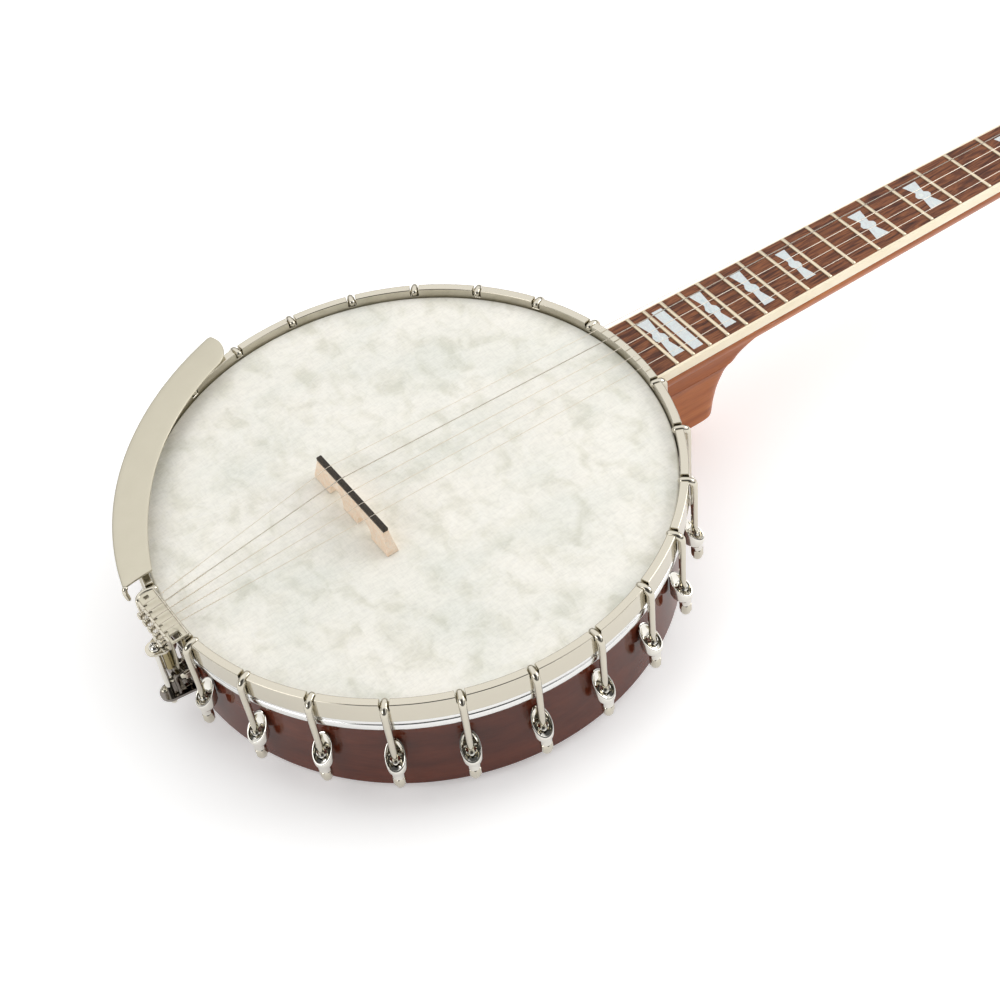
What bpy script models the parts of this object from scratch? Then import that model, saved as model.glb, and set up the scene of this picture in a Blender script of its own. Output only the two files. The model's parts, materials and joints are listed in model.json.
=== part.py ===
"""Open-back five-string banjo, lying on its back with the strings up.

Axes: +X runs along the neck from the pot to the peghead, +Y is the short-string side,
+Z is up. The fretboard is level. The pot leans by the neck angle, so the tail edge of
the rim and the tips of the outer tuner buttons stand on Z = 0.
All lengths below are in millimetres and become metres through MM.
"""
import math

import bmesh
import bpy
from mathutils import Matrix, Vector

MM = 0.001
GAP = 0.3

# placing of the whole instrument
HEAD_X = -327.86
HEAD_Y = -2.42
BOARD_Z = 83.19
HEAD_DROP = 6.06
NECK_ANGLE = 0.0427
PEGHEAD_ANGLE = math.radians(15.138)

# pot, measured from the centre of the head's upper face
RIM_R = 139.7
RIM_INNER_R = 124.7
RIM_TOP = -7.2
RIM_BOTTOM = -71.3
TONE_R = 136.2
TONE_ROD = 3.1
HEAD_T = 0.4
SKIRT_BOTTOM = -14.0
HOOP_INNER_R = 140.8
HOOP_R = 145.5
HOOP_TOP = 5.35
HOOP_BOTTOM = -8.2
FLESH_R = 144.3
FLESH_TOP = -8.5
FLESH_BOTTOM = -16.1
RING_SEGMENTS = 60
NOTCH_W = 5.6
NOTCH_FLOOR = 0.9

# brackets: a hook, its shoe, the shoe's bolt and the hook's nut
FIRST_HOOK = math.radians(11.66)
HOOK_STEP = math.radians(14.52)
HOOKS_PER_SIDE = 12
HOOK_ROD = 2.0
HOOK_SHAFT_R = 147.9
SHOE_R = 146.4
SHOE_BOLT_Z = -37.0
BOLT_R = 2.1
ROD_Z = -38.0

# neck, measured from the centre line and the fretboard's upper face
SCALE = 666.75
NUT_X = 639.6
FRETS = 22
BOARD_T = 6.0
BOARD_HALF_AT_NUT = 17.15
BOARD_TAPER = 0.0148
NARROW_BASS_AT_NUT = 14.4
STEP_X = 508.0
STEP_END_X = 522.0
NUT_T = 4.0
STRING_R = 0.3

# peghead, measured from its root along its sloping face
PEGHEAD_X = 645.5
PEGHEAD_Z = -5.8
PEGHEAD_T = 15.0
TUNER_S = (62.0, 124.0)
TUNER_Y = 21.0
BUTTON_TIP = -46.0
FIFTH_X = 496.0
FIFTH_Z = -12.0
PIP_X = 478.5
PIP_Y = 16.6

BRIDGE_X = -32.7
BRIDGE_H = 16.2
BRIDGE_STRING_Y = (22.1, 10.9, 0.2, -10.3, -20.8)
TAIL_STRING_Y = (10.8, 5.4, 0.0, -5.4, -10.8)
NUT_STRING_Y = (PIP_Y, 8.4, 1.2, -5.8, -13.3)

for old in list(bpy.data.objects):
    bpy.data.objects.remove(old, do_unlink=True)

parts = bpy.data.collections.new("open_back_banjo")
tools = bpy.data.collections.new("cutters")
bpy.context.scene.collection.children.link(parts)
bpy.context.scene.collection.children.link(tools)


def material(name, colour, roughness, metallic):
    """A Principled material with the part's own colour and finish."""
    made = bpy.data.materials.new(name)
    made.use_nodes = True
    shader = made.node_tree.nodes["Principled BSDF"]
    shader.inputs["Base Color"].default_value = (*colour, 1.0)
    shader.inputs["Roughness"].default_value = roughness
    shader.inputs["Metallic"].default_value = metallic
    return made


FINISH = {
    "nickel": ((0.74, 0.70, 0.63), 0.22, 1.0),
    "satin_nickel": ((0.70, 0.65, 0.56), 0.38, 1.0),
    "aluminium": ((0.85, 0.85, 0.84), 0.35, 1.0),
    "brass": ((0.78, 0.57, 0.25), 0.3, 1.0),
    "steel": ((0.62, 0.60, 0.57), 0.25, 1.0),
    "rim_wood": ((0.10, 0.04, 0.03), 0.15, 0.0),
    "neck_wood": ((0.32, 0.11, 0.05), 0.2, 0.0),
    "board_wood": ((0.13, 0.05, 0.03), 0.45, 0.0),
    "maple": ((0.86, 0.66, 0.48), 0.5, 0.0),
    "film": ((0.84, 0.83, 0.75), 0.5, 0.0),
    "bone": ((0.85, 0.80, 0.68), 0.4, 0.0),
    "button": ((0.86, 0.80, 0.66), 0.25, 0.0),
}


def empty(name, parent, location=(0, 0, 0), tilt=0.0):
    """A frame: placed in millimetres inside its parent and turned about Y by tilt."""
    frame = bpy.data.objects.new(name, None)
    parts.objects.link(frame)
    frame.parent = parent
    frame.location = Vector(location) * MM
    frame.rotation_euler = (0.0, tilt, 0.0)
    return frame


origin = empty("neck_frame", None, (HEAD_X, HEAD_Y, BOARD_Z))
pot = empty("pot_frame", origin, (0, 0, -HEAD_DROP), -NECK_ANGLE)
peghead = empty("peghead_frame", origin, (PEGHEAD_X, 0, PEGHEAD_Z), PEGHEAD_ANGLE)


def place(name, mesh, parent, finish=None, location=(0, 0, 0), rotation=(0, 0, 0)):
    """Put a mesh in the scene as a part, or as a hidden tool when it has no finish."""
    made = bpy.data.objects.new(name, mesh)
    made.parent = parent
    made.location = Vector(location) * MM
    made.rotation_euler = rotation
    if finish:
        parts.objects.link(made)
        if not mesh.materials:
            mesh.materials.append(material(name, *FINISH[finish]))
    else:
        tools.objects.link(made)
        made.hide_render = True
        made.display_type = "WIRE"
    return made


def smooth(mesh, angle=35.0):
    mesh.shade_smooth()
    mesh.set_sharp_from_angle(angle=math.radians(angle))


def turned(name, profile, segments, parent, finish=None, closed=False, **where):
    """A turned solid: the profile of (radius, height) runs down the outer side."""
    mesh = bpy.data.meshes.new(name)
    form = bmesh.new()
    points = [form.verts.new((r * MM, 0.0, z * MM)) for r, z in profile]
    for first, second in zip(points, points[1:]):
        form.edges.new((first, second))
    if closed:
        form.edges.new((points[-1], points[0]))
    form.to_mesh(mesh)
    form.free()
    made = place(name, mesh, parent, finish, **where)
    screw = made.modifiers.new("turn", "SCREW")
    screw.axis = "Z"
    screw.angle = 2 * math.pi
    screw.steps = segments
    screw.render_steps = segments
    screw.use_merge_vertices = True
    screw.merge_threshold = 0.00001
    screw.use_smooth_shade = True
    return made


def box(name, low, high, parent, finish=None, **where):
    """A block between two corners given in millimetres."""
    mesh = bpy.data.meshes.new(name)
    form = bmesh.new()
    bmesh.ops.create_cube(form, size=1.0)
    low, high = Vector(low), Vector(high)
    for vertex in form.verts:
        middle = (low + high) / 2
        span = high - low
        vertex.co = Vector([middle[k] + span[k] * vertex.co[k] for k in range(3)]) * MM
    form.to_mesh(mesh)
    form.free()
    return place(name, mesh, parent, finish, **where)


def cylinder(name, radius, start, end, sides, parent, finish=None, top_radius=None, **where):
    """A straight cylinder or cone between two points in millimetres."""
    start, end = Vector(start), Vector(end)
    axis = end - start
    turn = Vector((0, 0, 1)).rotation_difference(axis).to_matrix().to_4x4()
    mesh = bpy.data.meshes.new(name)
    form = bmesh.new()
    bmesh.ops.create_cone(
        form,
        cap_ends=True,
        segments=sides,
        radius1=radius * MM,
        radius2=(top_radius if top_radius is not None else radius) * MM,
        depth=axis.length * MM,
        matrix=Matrix.Translation((start + end) / 2 * MM) @ turn,
    )
    form.to_mesh(mesh)
    form.free()
    return place(name, mesh, parent, finish, **where)


def evaluated_mesh(source, name):
    """The mesh of an object with its modifiers done, cleaned of doubled points."""
    bpy.context.view_layer.update()
    graph = bpy.context.evaluated_depsgraph_get()
    mesh = bpy.data.meshes.new_from_object(source.evaluated_get(graph))
    mesh.name = name
    form = bmesh.new()
    form.from_mesh(mesh)
    bmesh.ops.remove_doubles(form, verts=form.verts, dist=0.000005)
    form.to_mesh(mesh)
    form.free()
    return mesh


def outline(name, points, low, high, parent, finish=None, **where):
    """A flat outline in X and Y, filled and given thickness from low to high."""
    curve = bpy.data.curves.new(name, "CURVE")
    curve.dimensions = "2D"
    curve.fill_mode = "BOTH"
    curve.extrude = (high - low) / 2 * MM
    spline = curve.splines.new("POLY")
    spline.points.add(len(points) - 1)
    for point, (x, y) in zip(spline.points, points):
        point.co = (x * MM, y * MM, 0.0, 1.0)
    spline.use_cyclic_u = True
    flat = bpy.data.objects.new(name + "_outline", curve)
    tools.objects.link(flat)
    mesh = evaluated_mesh(flat, name)
    bpy.data.objects.remove(flat, do_unlink=True)
    mesh.transform(Matrix.Translation((0, 0, (high + low) / 2 * MM)))
    return place(name, mesh, parent, finish, **where)


def wire(name, points, radius, parent, finish=None, resolution=1, **where):
    """A round rod or string along points in millimetres, as a capped mesh."""
    curve = bpy.data.curves.new(name, "CURVE")
    curve.dimensions = "3D"
    curve.bevel_depth = radius * MM
    curve.bevel_resolution = resolution
    curve.use_fill_caps = True
    spline = curve.splines.new("POLY")
    spline.points.add(len(points) - 1)
    for point, co in zip(spline.points, points):
        point.co = (*(Vector(co) * MM), 1.0)
    bent = bpy.data.objects.new(name + "_path", curve)
    tools.objects.link(bent)
    mesh = evaluated_mesh(bent, name)
    bpy.data.objects.remove(bent, do_unlink=True)
    return place(name, mesh, parent, finish, **where)


def loft(name, sections, parent, finish=None, **where):
    """A solid through rings of points that all have the same count."""
    mesh = bpy.data.meshes.new(name)
    form = bmesh.new()
    rings = [[form.verts.new(Vector(p) * MM) for p in ring] for ring in sections]
    count = len(rings[0])
    for near, far in zip(rings, rings[1:]):
        for k in range(count):
            n = (k + 1) % count
            form.faces.new((near[k], near[n], far[n], far[k]))
    form.faces.new(rings[0])
    form.faces.new(rings[-1])
    bmesh.ops.recalc_face_normals(form, faces=form.faces)
    form.to_mesh(mesh)
    form.free()
    return place(name, mesh, parent, finish, **where)


def boolean(target, tool, operation):
    step = target.modifiers.new(tool.name, "BOOLEAN")
    step.operation = operation
    step.solver = "EXACT"
    step.object = tool


def join(target, *others):
    for other in others:
        boolean(target, other, "UNION")


def cut(target, *others):
    for other in others:
        boolean(target, other, "DIFFERENCE")


def merged(name, pieces):
    """One tool mesh from several separate pieces that do not touch each other."""
    form = bmesh.new()
    for piece in pieces:
        step = evaluated_mesh(piece, name)
        step.transform(piece.matrix_local)
        form.from_mesh(step)
        parent = piece.parent
        bpy.data.objects.remove(piece, do_unlink=True)
        bpy.data.meshes.remove(step)
    mesh = bpy.data.meshes.new(name)
    form.to_mesh(mesh)
    form.free()
    return place(name, mesh, parent)


hook_angles = [-(FIRST_HOOK + k * HOOK_STEP) for k in range(HOOKS_PER_SIDE)]
hook_angles += [FIRST_HOOK + k * HOOK_STEP for k in range(HOOKS_PER_SIDE)]


# ---------------------------------------------------------------- pot: rim and head

rim = turned(
    "rim",
    [
        (RIM_R, RIM_TOP),
        (RIM_R, RIM_BOTTOM + 1.5),
        (RIM_R - 1.5, RIM_BOTTOM),
        (RIM_INNER_R, RIM_BOTTOM),
        (RIM_INNER_R, RIM_TOP),
    ],
    RING_SEGMENTS,
    pot,
    "rim_wood",
    closed=True,
)
drills = []
for number, angle in enumerate(hook_angles):
    start = (118, 0, SHOE_BOLT_Z)
    end = (146, 0, SHOE_BOLT_Z)
    turn = (0, 0, angle)
    drills.append(cylinder("drill", BOLT_R + 0.35, start, end, 6, pot, rotation=turn))
for side in (1, -1):
    drills.append(
        cylinder("drill_rod", 3.4, (side * 118, 0, ROD_Z), (side * 146, 0, ROD_Z), 8, pot)
    )
cut(rim, merged("rim_drills", drills))

turned(
    "tone_ring",
    [
        (
            TONE_R + TONE_ROD * math.cos(math.radians(90 - 60 * k)),
            -HEAD_T - GAP - TONE_ROD + TONE_ROD * math.sin(math.radians(90 - 60 * k)),
        )
        for k in range(6)
    ],
    RING_SEGMENTS,
    pot,
    "brass",
    closed=True,
)

turned(
    "head",
    [
        (0, 0),
        (139.7, 0),
        (140.5, -0.8),
        (140.5, SKIRT_BOTTOM),
        (140.0, SKIRT_BOTTOM),
        (140.0, -1.0),
        (139.4, -HEAD_T),
        (0, -HEAD_T),
    ],
    RING_SEGMENTS,
    pot,
    "film",
)

turned(
    "flesh_hoop",
    [
        (FLESH_R - 0.8, FLESH_TOP),
        (FLESH_R, FLESH_TOP - 0.8),
        (FLESH_R, FLESH_BOTTOM + 1.2),
        (FLESH_R - 1.2, FLESH_BOTTOM),
        (HOOP_INNER_R, FLESH_BOTTOM),
        (HOOP_INNER_R, FLESH_TOP),
    ],
    RING_SEGMENTS,
    pot,
    "aluminium",
    closed=True,
)

hoop = turned(
    "tension_hoop",
    [
        (HOOP_R, HOOP_TOP),
        (HOOP_R, HOOP_BOTTOM),
        (HOOP_INNER_R, HOOP_BOTTOM),
        (HOOP_INNER_R, HOOP_TOP),
    ],
    RING_SEGMENTS,
    pot,
    "nickel",
    closed=True,
)
notches = []
for number, angle in enumerate(hook_angles):
    notches.append(
        box(
            "notch_%02d" % number,
            (136, -NOTCH_W / 2, NOTCH_FLOOR),
            (150, NOTCH_W / 2, 12),
            pot,
            rotation=(0, 0, angle),
        )
    )
cut(hoop, merged("hoop_notches", notches))

# ---------------------------------------------------------------- brackets

hook_z = NOTCH_FLOOR + GAP + HOOK_ROD
bracket = wire(
    "bracket_tool",
    [
        (139.9, 0, hook_z),
        (145.2, 0, hook_z),
        (147.1, 0, hook_z - 0.9),
        (HOOK_SHAFT_R, 0, hook_z - 3.2),
        (SHOE_R + 0.4, 0, -52.0),
    ],
    HOOK_ROD,
    pot,
)
shoe_ring = turned(
    "shoe_cup",
    [(0, -34.0), (5.2, -34.0), (5.2, -42.0), (3.9, -47.0), (0, -47.0)],
    8,
    pot,
    location=(SHOE_R, 0, 0),
)
shoe_foot = box("shoe_foot", (140.0, -4.6, -46.0), (144.0, 4.6, -30.0), pot)
hook_nut = turned(
    "hook_nut",
    [(0, -46.5), (3.3, -46.5), (3.3, -57.0), (1.9, -60.0), (0, -60.0)],
    6,
    pot,
    location=(SHOE_R + 0.2, 0, 0),
)
shoe_bolt = cylinder("shoe_bolt", BOLT_R, (122, 0, SHOE_BOLT_Z), (142, 0, SHOE_BOLT_Z), 6, pot)
bolt_head = cylinder("bolt_head", 4.3, (121.2, 0, SHOE_BOLT_Z), (124.0, 0, SHOE_BOLT_Z), 6, pot)
join(bracket, shoe_ring, shoe_foot, hook_nut, shoe_bolt, bolt_head)
bracket_mesh = evaluated_mesh(bracket, "bracket")
smooth(bracket_mesh)
bracket_mesh.materials.clear()
bpy.data.objects.remove(bracket, do_unlink=True)
for number, angle in enumerate(hook_angles):
    place("bracket_%02d" % (number + 1), bracket_mesh, pot, "nickel", rotation=(0, 0, angle))

# ---------------------------------------------------------------- coordinator rod

rod = cylinder("coordinator_rod", 4.7, (-124.0, 0, ROD_Z), (124.0, 0, ROD_Z), 12, pot, "steel")
stud = cylinder("rod_stud", 3.0, (-146.0, 0, ROD_Z), (160.0, 0, ROD_Z), 8, pot)
cap_nut = cylinder("rod_cap_nut", 5.2, (-142.6, 0, ROD_Z), (-147.5, 0, ROD_Z), 6, pot)
cap_dome = cylinder("rod_cap_dome", 4.6, (-147.2, 0, ROD_Z), (-150.2, 0, ROD_Z), 8, pot, None, 2.2)
join(rod, stud, cap_nut, cap_dome)

# ---------------------------------------------------------------- bridge


def bridge_outline():
    """Half profile in Y and Z, mirrored: three feet and two arches."""
    half = [(32.0, BRIDGE_H), (35.5, 3.5), (35.5, GAP), (20.0, GAP)]
    for k in range(7):
        turn = math.pi * k / 6
        half.append((13.5 + 6.5 * math.cos(turn), 2.0 + 6.0 * math.sin(turn)))
    half.append((7.0, GAP))
    return half + [(-y, z) for y, z in reversed(half)]


bridge = outline(
    "bridge",
    bridge_outline(),
    -3.4,
    3.4,
    pot,
    "maple",
    location=(BRIDGE_X, 0, 0),
)
for vertex in bridge.data.vertices:
    across, up, along = vertex.co.x, vertex.co.y, vertex.co.z
    narrowing = 1.0 - 0.60 * up / (BRIDGE_H * MM)
    vertex.co = (along * narrowing, across, up)
bridge_form = bmesh.new()
bridge_form.from_mesh(bridge.data)
bmesh.ops.recalc_face_normals(bridge_form, faces=bridge_form.faces)
bridge_form.to_mesh(bridge.data)
bridge_form.free()

# ---------------------------------------------------------------- tailpiece

tail = outline(
    "tailpiece",
    [(-150.6, -15.5), (-141.6, -17.0), (-140.4, -17.0), (-140.4, 17.0), (-141.6, 17.0), (-150.6, 15.5)],
    HOOP_TOP + 0.5,
    HOOP_TOP + 2.0,
    pot,
    "nickel",
)
tail_roll = cylinder(
    "tail_roll", 1.5, (-140.8, -17.0, HOOP_TOP + 2.2), (-140.8, 17.0, HOOP_TOP + 2.2), 8, pot
)
tail_wall = box("tail_wall", (-152.0, -15.5, -13.0), (-150.4, 15.5, HOOP_TOP + 2.0), pot)
tail_tab = outline(
    "tail_tab",
    [(-151.0, -7.0)]
    + [
        (-155.4 - 4.9 * math.sin(math.pi * k / 6), -4.9 * math.cos(math.pi * k / 6))
        for k in range(7)
    ]
    + [(-151.0, 7.0)],
    -13.0,
    -11.4,
    pot,
)
join(tail, tail_roll, tail_wall, tail_tab)
for number, y in enumerate(TAIL_STRING_Y):
    join(tail, cylinder("tail_post_%d" % number, 1.3, (-151.0, y, 1.6), (-155.2, y, 1.6), 6, pot))
cut(tail, cylinder("tail_hole", 2.0, (-155.2, 0, -20), (-155.2, 0, 0), 8, pot))

hanger = box("tailpiece_hanger", (-142.2, -8.0, -50.0), (-140.3, 8.0, -29.0), pot, "nickel")
hanger_leg = outline(
    "hanger_leg",
    [(-141.0, -8.0)]
    + [
        (-155.4 - 5.8 * math.sin(math.pi * k / 6), -5.8 * math.cos(math.pi * k / 6))
        for k in range(7)
    ]
    + [(-141.0, 8.0)],
    -50.0,
    -48.2,
    pot,
)
join(hanger, hanger_leg)
cut(
    hanger,
    cylinder("hanger_bore", 3.0 + GAP, (-150, 0, ROD_Z), (-135, 0, ROD_Z), 8, pot),
    cylinder("hanger_hole", 2.0, (-155.2, 0, -60), (-155.2, 0, -40), 8, pot),
)

turned(
    "tailpiece_screw",
    [
        (0, -8.4),
        (2.2, -8.9),
        (3.3, -11.0),
        (1.7, -11.1),
        (1.7, -50.3),
        (3.4, -50.3),
        (3.4, -54.5),
        (1.6, -57.2),
        (0, -57.2),
    ],
    8,
    pot,
    "nickel",
    location=(-155.2, 0, 0),
)

# ---------------------------------------------------------------- armrest

ARM_STATIONS = 14
ARM_START = 100.8
ARM_END = 168.4
ARM_SLANT = 1.6
ARM_MIDDLE = 142.0
ARM_CORNER = 12.0


def arm_edge(angle):
    """Radii and rise of the plate at an angle in degrees: its arc is flatter than the hoop's."""
    reach = angle - ARM_MIDDLE
    inner = 134.5 + (0.0025 if reach < 0 else 0.0064) * reach * reach
    outer = 153.9 + (0.0027 if reach < 0 else 0.003) * reach * reach
    rise = 0.0014 * min(reach, 0.0) ** 2
    left = ARM_CORNER - math.radians(angle - ARM_START) * 140.0
    if left > 0:
        inner += ARM_CORNER - math.sqrt(max(ARM_CORNER * ARM_CORNER - left * left, 0.0))
    return inner, outer, rise


arm_sections = []
for k in range(ARM_STATIONS + 1):
    share = (k / ARM_STATIONS) ** 1.6
    angle = ARM_START + (ARM_END - ARM_START) * share
    inner, outer, rise = arm_edge(angle)
    ring = []
    for reach, height in ((0, 9.0), (0.5, 9.2), (1, 7.9), (1, 6.4), (0.5, 7.7), (0, 7.5)):
        radius = inner + (outer - inner) * reach
        turn = math.radians(angle + ARM_SLANT * share * reach)
        ring.append((radius * math.cos(turn), radius * math.sin(turn), height + rise))
    arm_sections.append(ring)
loft("armrest", arm_sections, pot, "satin_nickel")

ARM_LEGS = (math.radians(120.56), math.radians(149.6))
strap = [
    (
        151.9 * math.cos(ARM_LEGS[0] - 0.03 + k * (ARM_LEGS[1] - ARM_LEGS[0] + 0.06) / 8),
        151.9 * math.sin(ARM_LEGS[0] - 0.03 + k * (ARM_LEGS[1] - ARM_LEGS[0] + 0.06) / 8),
        4.0,
    )
    for k in range(9)
]
arm_frame = wire("armrest_bracket", strap, 1.5, pot, "nickel")
for number, angle in enumerate(ARM_LEGS):
    ray = Vector((math.cos(angle), math.sin(angle), 0.0))
    down = wire(
        "arm_leg_%d" % number,
        [
            ray * 151.9 + Vector((0, 0, 4.0)),
            ray * 148.0 + Vector((0, 0, -0.5)),
            ray * 147.4 + Vector((0, 0, -17.0)),
            ray * 142.4 + Vector((0, 0, -18.4)),
        ],
        1.5,
        pot,
    )
    join(arm_frame, down)

# ---------------------------------------------------------------- neck


def fret_x(number):
    return NUT_X - SCALE * (1.0 - 2.0 ** (-number / 12.0))


def board_half(x):
    """Half width of the full fretboard at a distance x from the head's centre."""
    return BOARD_HALF_AT_NUT + BOARD_TAPER * (NUT_X - x)


def bass_half(x):
    """Width of the short-string side, which steps in past the fifth fret."""
    if x <= STEP_X:
        return board_half(x)
    narrow = NARROW_BASS_AT_NUT + BOARD_TAPER * (NUT_X - x)
    share = min(1.0, (x - STEP_X) / (STEP_END_X - STEP_X))
    blend = share * share * (3 - 2 * share)
    return board_half(x) * (1 - blend) + narrow * blend


def neck_section(x, depth, fullness, top=-BOARD_T - GAP):
    """A D-shaped ring across the neck, flat on top and round below."""
    ring = []
    for k in range(13):
        turn = math.pi * k / 12
        side = math.cos(turn)
        half = bass_half(x) if side >= 0 else board_half(x)
        y = half * math.copysign(abs(side) ** fullness, side)
        z = top - 1.5 - (depth - 1.5) * abs(math.sin(turn)) ** 0.9
        ring.append((x, y, z))
    return [(x, bass_half(x), top)] + ring + [(x, -board_half(x), top)]


stations = [
    (128.0, 16.5, 0.62),
    (185.0, 16.5, 0.66),
    (215.0, 17.0, 0.8),
    (330.0, 16.6, 0.86),
    (480.0, 15.6, 0.88),
    (STEP_X, 15.5, 0.88),
    (512.0, 15.4, 0.88),
    (517.0, 15.4, 0.88),
    (STEP_END_X, 15.3, 0.88),
    (600.0, 14.8, 0.88),
    (646.5, 14.8, 0.85),
]
neck = loft("neck", [neck_section(*station) for station in stations], origin, "neck_wood")


def heel_ring(z, toe, half, toe_half):
    """A level outline of the heel with a rounded toe, at height z."""
    ring = [(128.0, half, z), (toe - 16.0, half - 0.6, z)]
    for k in range(7):
        turn = math.pi / 2 - math.pi * k / 6
        ring.append((toe - 9.0 + 9.0 * math.cos(turn), toe_half * math.sin(turn), z))
    return ring + [(toe - 16.0, -half + 0.6, z), (128.0, -half, z)]


heel = loft(
    "heel",
    [
        heel_ring(-12.0, 224.0, 22.4, 17.0),
        heel_ring(-17.5, 212.0, 22.0, 16.0),
        heel_ring(-23.0, 204.5, 21.6, 15.0),
        heel_ring(-24.0, 203.0, 20.4, 14.2),
        heel_ring(-31.0, 197.5, 19.6, 13.4),
        heel_ring(-40.0, 193.8, 18.6, 12.6),
        heel_ring(-51.0, 192.0, 17.4, 12.0),
        heel_ring(-61.5, 191.4, 16.4, 11.5),
        heel_ring(-63.5, 189.4, 15.4, 10.5),
    ],
    origin,
)


def peghead_outline():
    """Half of the peghead's edge from the root to the tip, mirrored."""
    half = [
        (0.0, 15.9),
        (10.0, 17.5),
        (22.0, 24.5),
        (34.0, 31.0),
        (50.0, 33.4),
        (80.0, 33.0),
        (110.0, 33.6),
        (140.0, 35.6),
        (156.0, 36.4),
        (165.0, 31.0),
        (168.0, 22.0),
        (172.0, 12.0),
        (176.0, 5.0),
    ]
    return half + [(s, -y) for s, y in reversed(half)]


slab = outline("peghead_slab", peghead_outline(), -PEGHEAD_T, 0.0, peghead)
join(neck, heel, slab)
hoop_room = cylinder("hoop_room", HOOP_R + 0.6, (0, 0, FLESH_BOTTOM - 0.5), (0, 0, 40), 120, pot)
rim_room = cylinder("rim_room", RIM_R + GAP, (0, 0, -90), (0, 0, 40), 120, pot)
stud_room = cylinder("stud_room", 3.0 + GAP, (130, 0, ROD_Z), (162, 0, ROD_Z), 8, pot)
cut(neck, hoop_room, rim_room, stud_room)
tuner_drills = [
    cylinder("tuner_drill", 4.6, (s, y, -40), (s, y, 20), 16, peghead)
    for s in TUNER_S
    for y in (TUNER_Y, -TUNER_Y)
]
cut(neck, merged("tuner_drills", tuner_drills))
fifth_side = board_half(FIFTH_X)
cut(
    neck,
    cylinder("fifth_drill", 2.3, (FIFTH_X, 8.0, FIFTH_Z), (FIFTH_X, 30.0, FIFTH_Z), 8, origin),
)

# ---------------------------------------------------------------- fretboard and nut

board_edge = [(x, bass_half(x)) for x in (128, 480, STEP_X, 512, 517, STEP_END_X, NUT_X)]
board_edge += [(NUT_X, -board_half(NUT_X)), (128, -board_half(128))]
board = outline("fretboard", board_edge, -BOARD_T, 0.0, origin, "board_wood")
cut(board, cylinder("board_room", HOOP_R + 0.6, (0, 0, -30), (0, 0, 40), 120, pot))
fret_bars = []
for number in range(1, FRETS + 1):
    x = fret_x(number)
    fret_bars.append(
        box(
            "fret_%02d" % number,
            (x - 1.1, -board_half(x) + 0.9, -1.0),
            (x + 1.1, bass_half(x) - 0.9, 1.0),
            origin,
        )
    )
join(board, merged("frets", fret_bars))

box(
    "nut",
    (NUT_X + GAP, -board_half(NUT_X) + 0.3, -BOARD_T),
    (NUT_X + GAP + NUT_T, bass_half(NUT_X) - 0.3, 1.9),
    origin,
    "bone",
)

cylinder("fifth_string_pip", 1.2, (PIP_X, PIP_Y, GAP), (PIP_X, PIP_Y, 2.4), 8, origin, "bone")

# ---------------------------------------------------------------- tuners

TUNER_SIDES = 16
HOUSING = [
    (0, -20.0),
    (3.1, -20.0),
    (3.1, 1.9),
    (5.6, 1.9),
    (5.6, GAP),
    (4.2, GAP),
    (4.2, -PEGHEAD_T - GAP),
    (9.6, -PEGHEAD_T - GAP),
    (9.6, -27.0),
    (2.8, -27.0),
    (2.8, -22.0),
    (0, -22.0),
]
POST = [(0, 15.5), (3.4, 15.5), (3.4, 13.8), (2.5, 12.0), (2.5, 7.0), (3.0, 5.5), (3.0, -19.7), (0, -19.7)]


def tuner_button(name, parent, **where):
    """A flattened button with a rounded tip on a short shaft."""
    made = turned(
        name,
        [
            (0, -22.4),
            (2.6, -22.4),
            (2.6, -28.6),
            (5.5, -30.0),
            (9.6, -33.5),
            (10.4, -39.0),
            (7.5, -44.2),
            (3.4, BUTTON_TIP + 0.3),
            (0, BUTTON_TIP),
        ],
        TUNER_SIDES,
        parent,
        "button",
        **where,
    )
    mesh = evaluated_mesh(made, name)
    for vertex in mesh.vertices:
        if vertex.co.z < -28.0 * MM:
            vertex.co.y *= 0.5
    smooth(mesh, 50)
    bpy.data.objects.remove(made, do_unlink=True)
    return place(name, mesh, parent, "button", **where)


tuner_places = [
    ("tuner_1", (TUNER_S[0], -TUNER_Y, 0)),
    ("tuner_2", (TUNER_S[1], -TUNER_Y, 0)),
    ("tuner_3", (TUNER_S[1], TUNER_Y, 0)),
    ("tuner_4", (TUNER_S[0], TUNER_Y, 0)),
]
for name, spot in tuner_places:
    turned(name + "_housing", HOUSING, TUNER_SIDES, peghead, "nickel", location=spot)
    turned(name + "_post", POST, TUNER_SIDES, peghead, "nickel", location=spot)
    tuner_button(name + "_button", peghead, location=spot)

# the side tuner: its pin stands in the neck, its sleeve takes the string
side_turn = (math.radians(90), 0, 0)
drum = turned(
    "tuner_5_housing",
    [
        (0, 0),
        (1.6, 0),
        (1.6, -22.3),
        (9.0, -22.3),
        (9.0, -31.0),
        (2.8, -31.0),
        (2.8, -26.0),
        (0, -26.0),
    ],
    TUNER_SIDES,
    origin,
    "nickel",
    location=(FIFTH_X, fifth_side - 10.0, FIFTH_Z),
    rotation=side_turn,
)
turned(
    "tuner_5_post",
    [
        (3.6, -10.6),
        (3.6, -12.0),
        (2.7, -13.0),
        (2.7, -19.0),
        (3.6, -20.4),
        (3.6, -22.0),
        (1.75, -22.0),
        (1.75, -10.6),
    ],
    TUNER_SIDES,
    origin,
    "nickel",
    closed=True,
    location=(FIFTH_X, fifth_side - 10.0, FIFTH_Z),
    rotation=side_turn,
)
tuner_button(
    "tuner_5_button",
    origin,
    location=(FIFTH_X, fifth_side - 10.0 + 4.0, FIFTH_Z),
    rotation=side_turn,
)

# ---------------------------------------------------------------- strings


def in_neck_frame(frame, point):
    return frame.matrix_local @ (Vector(point) * MM) / MM


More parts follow.
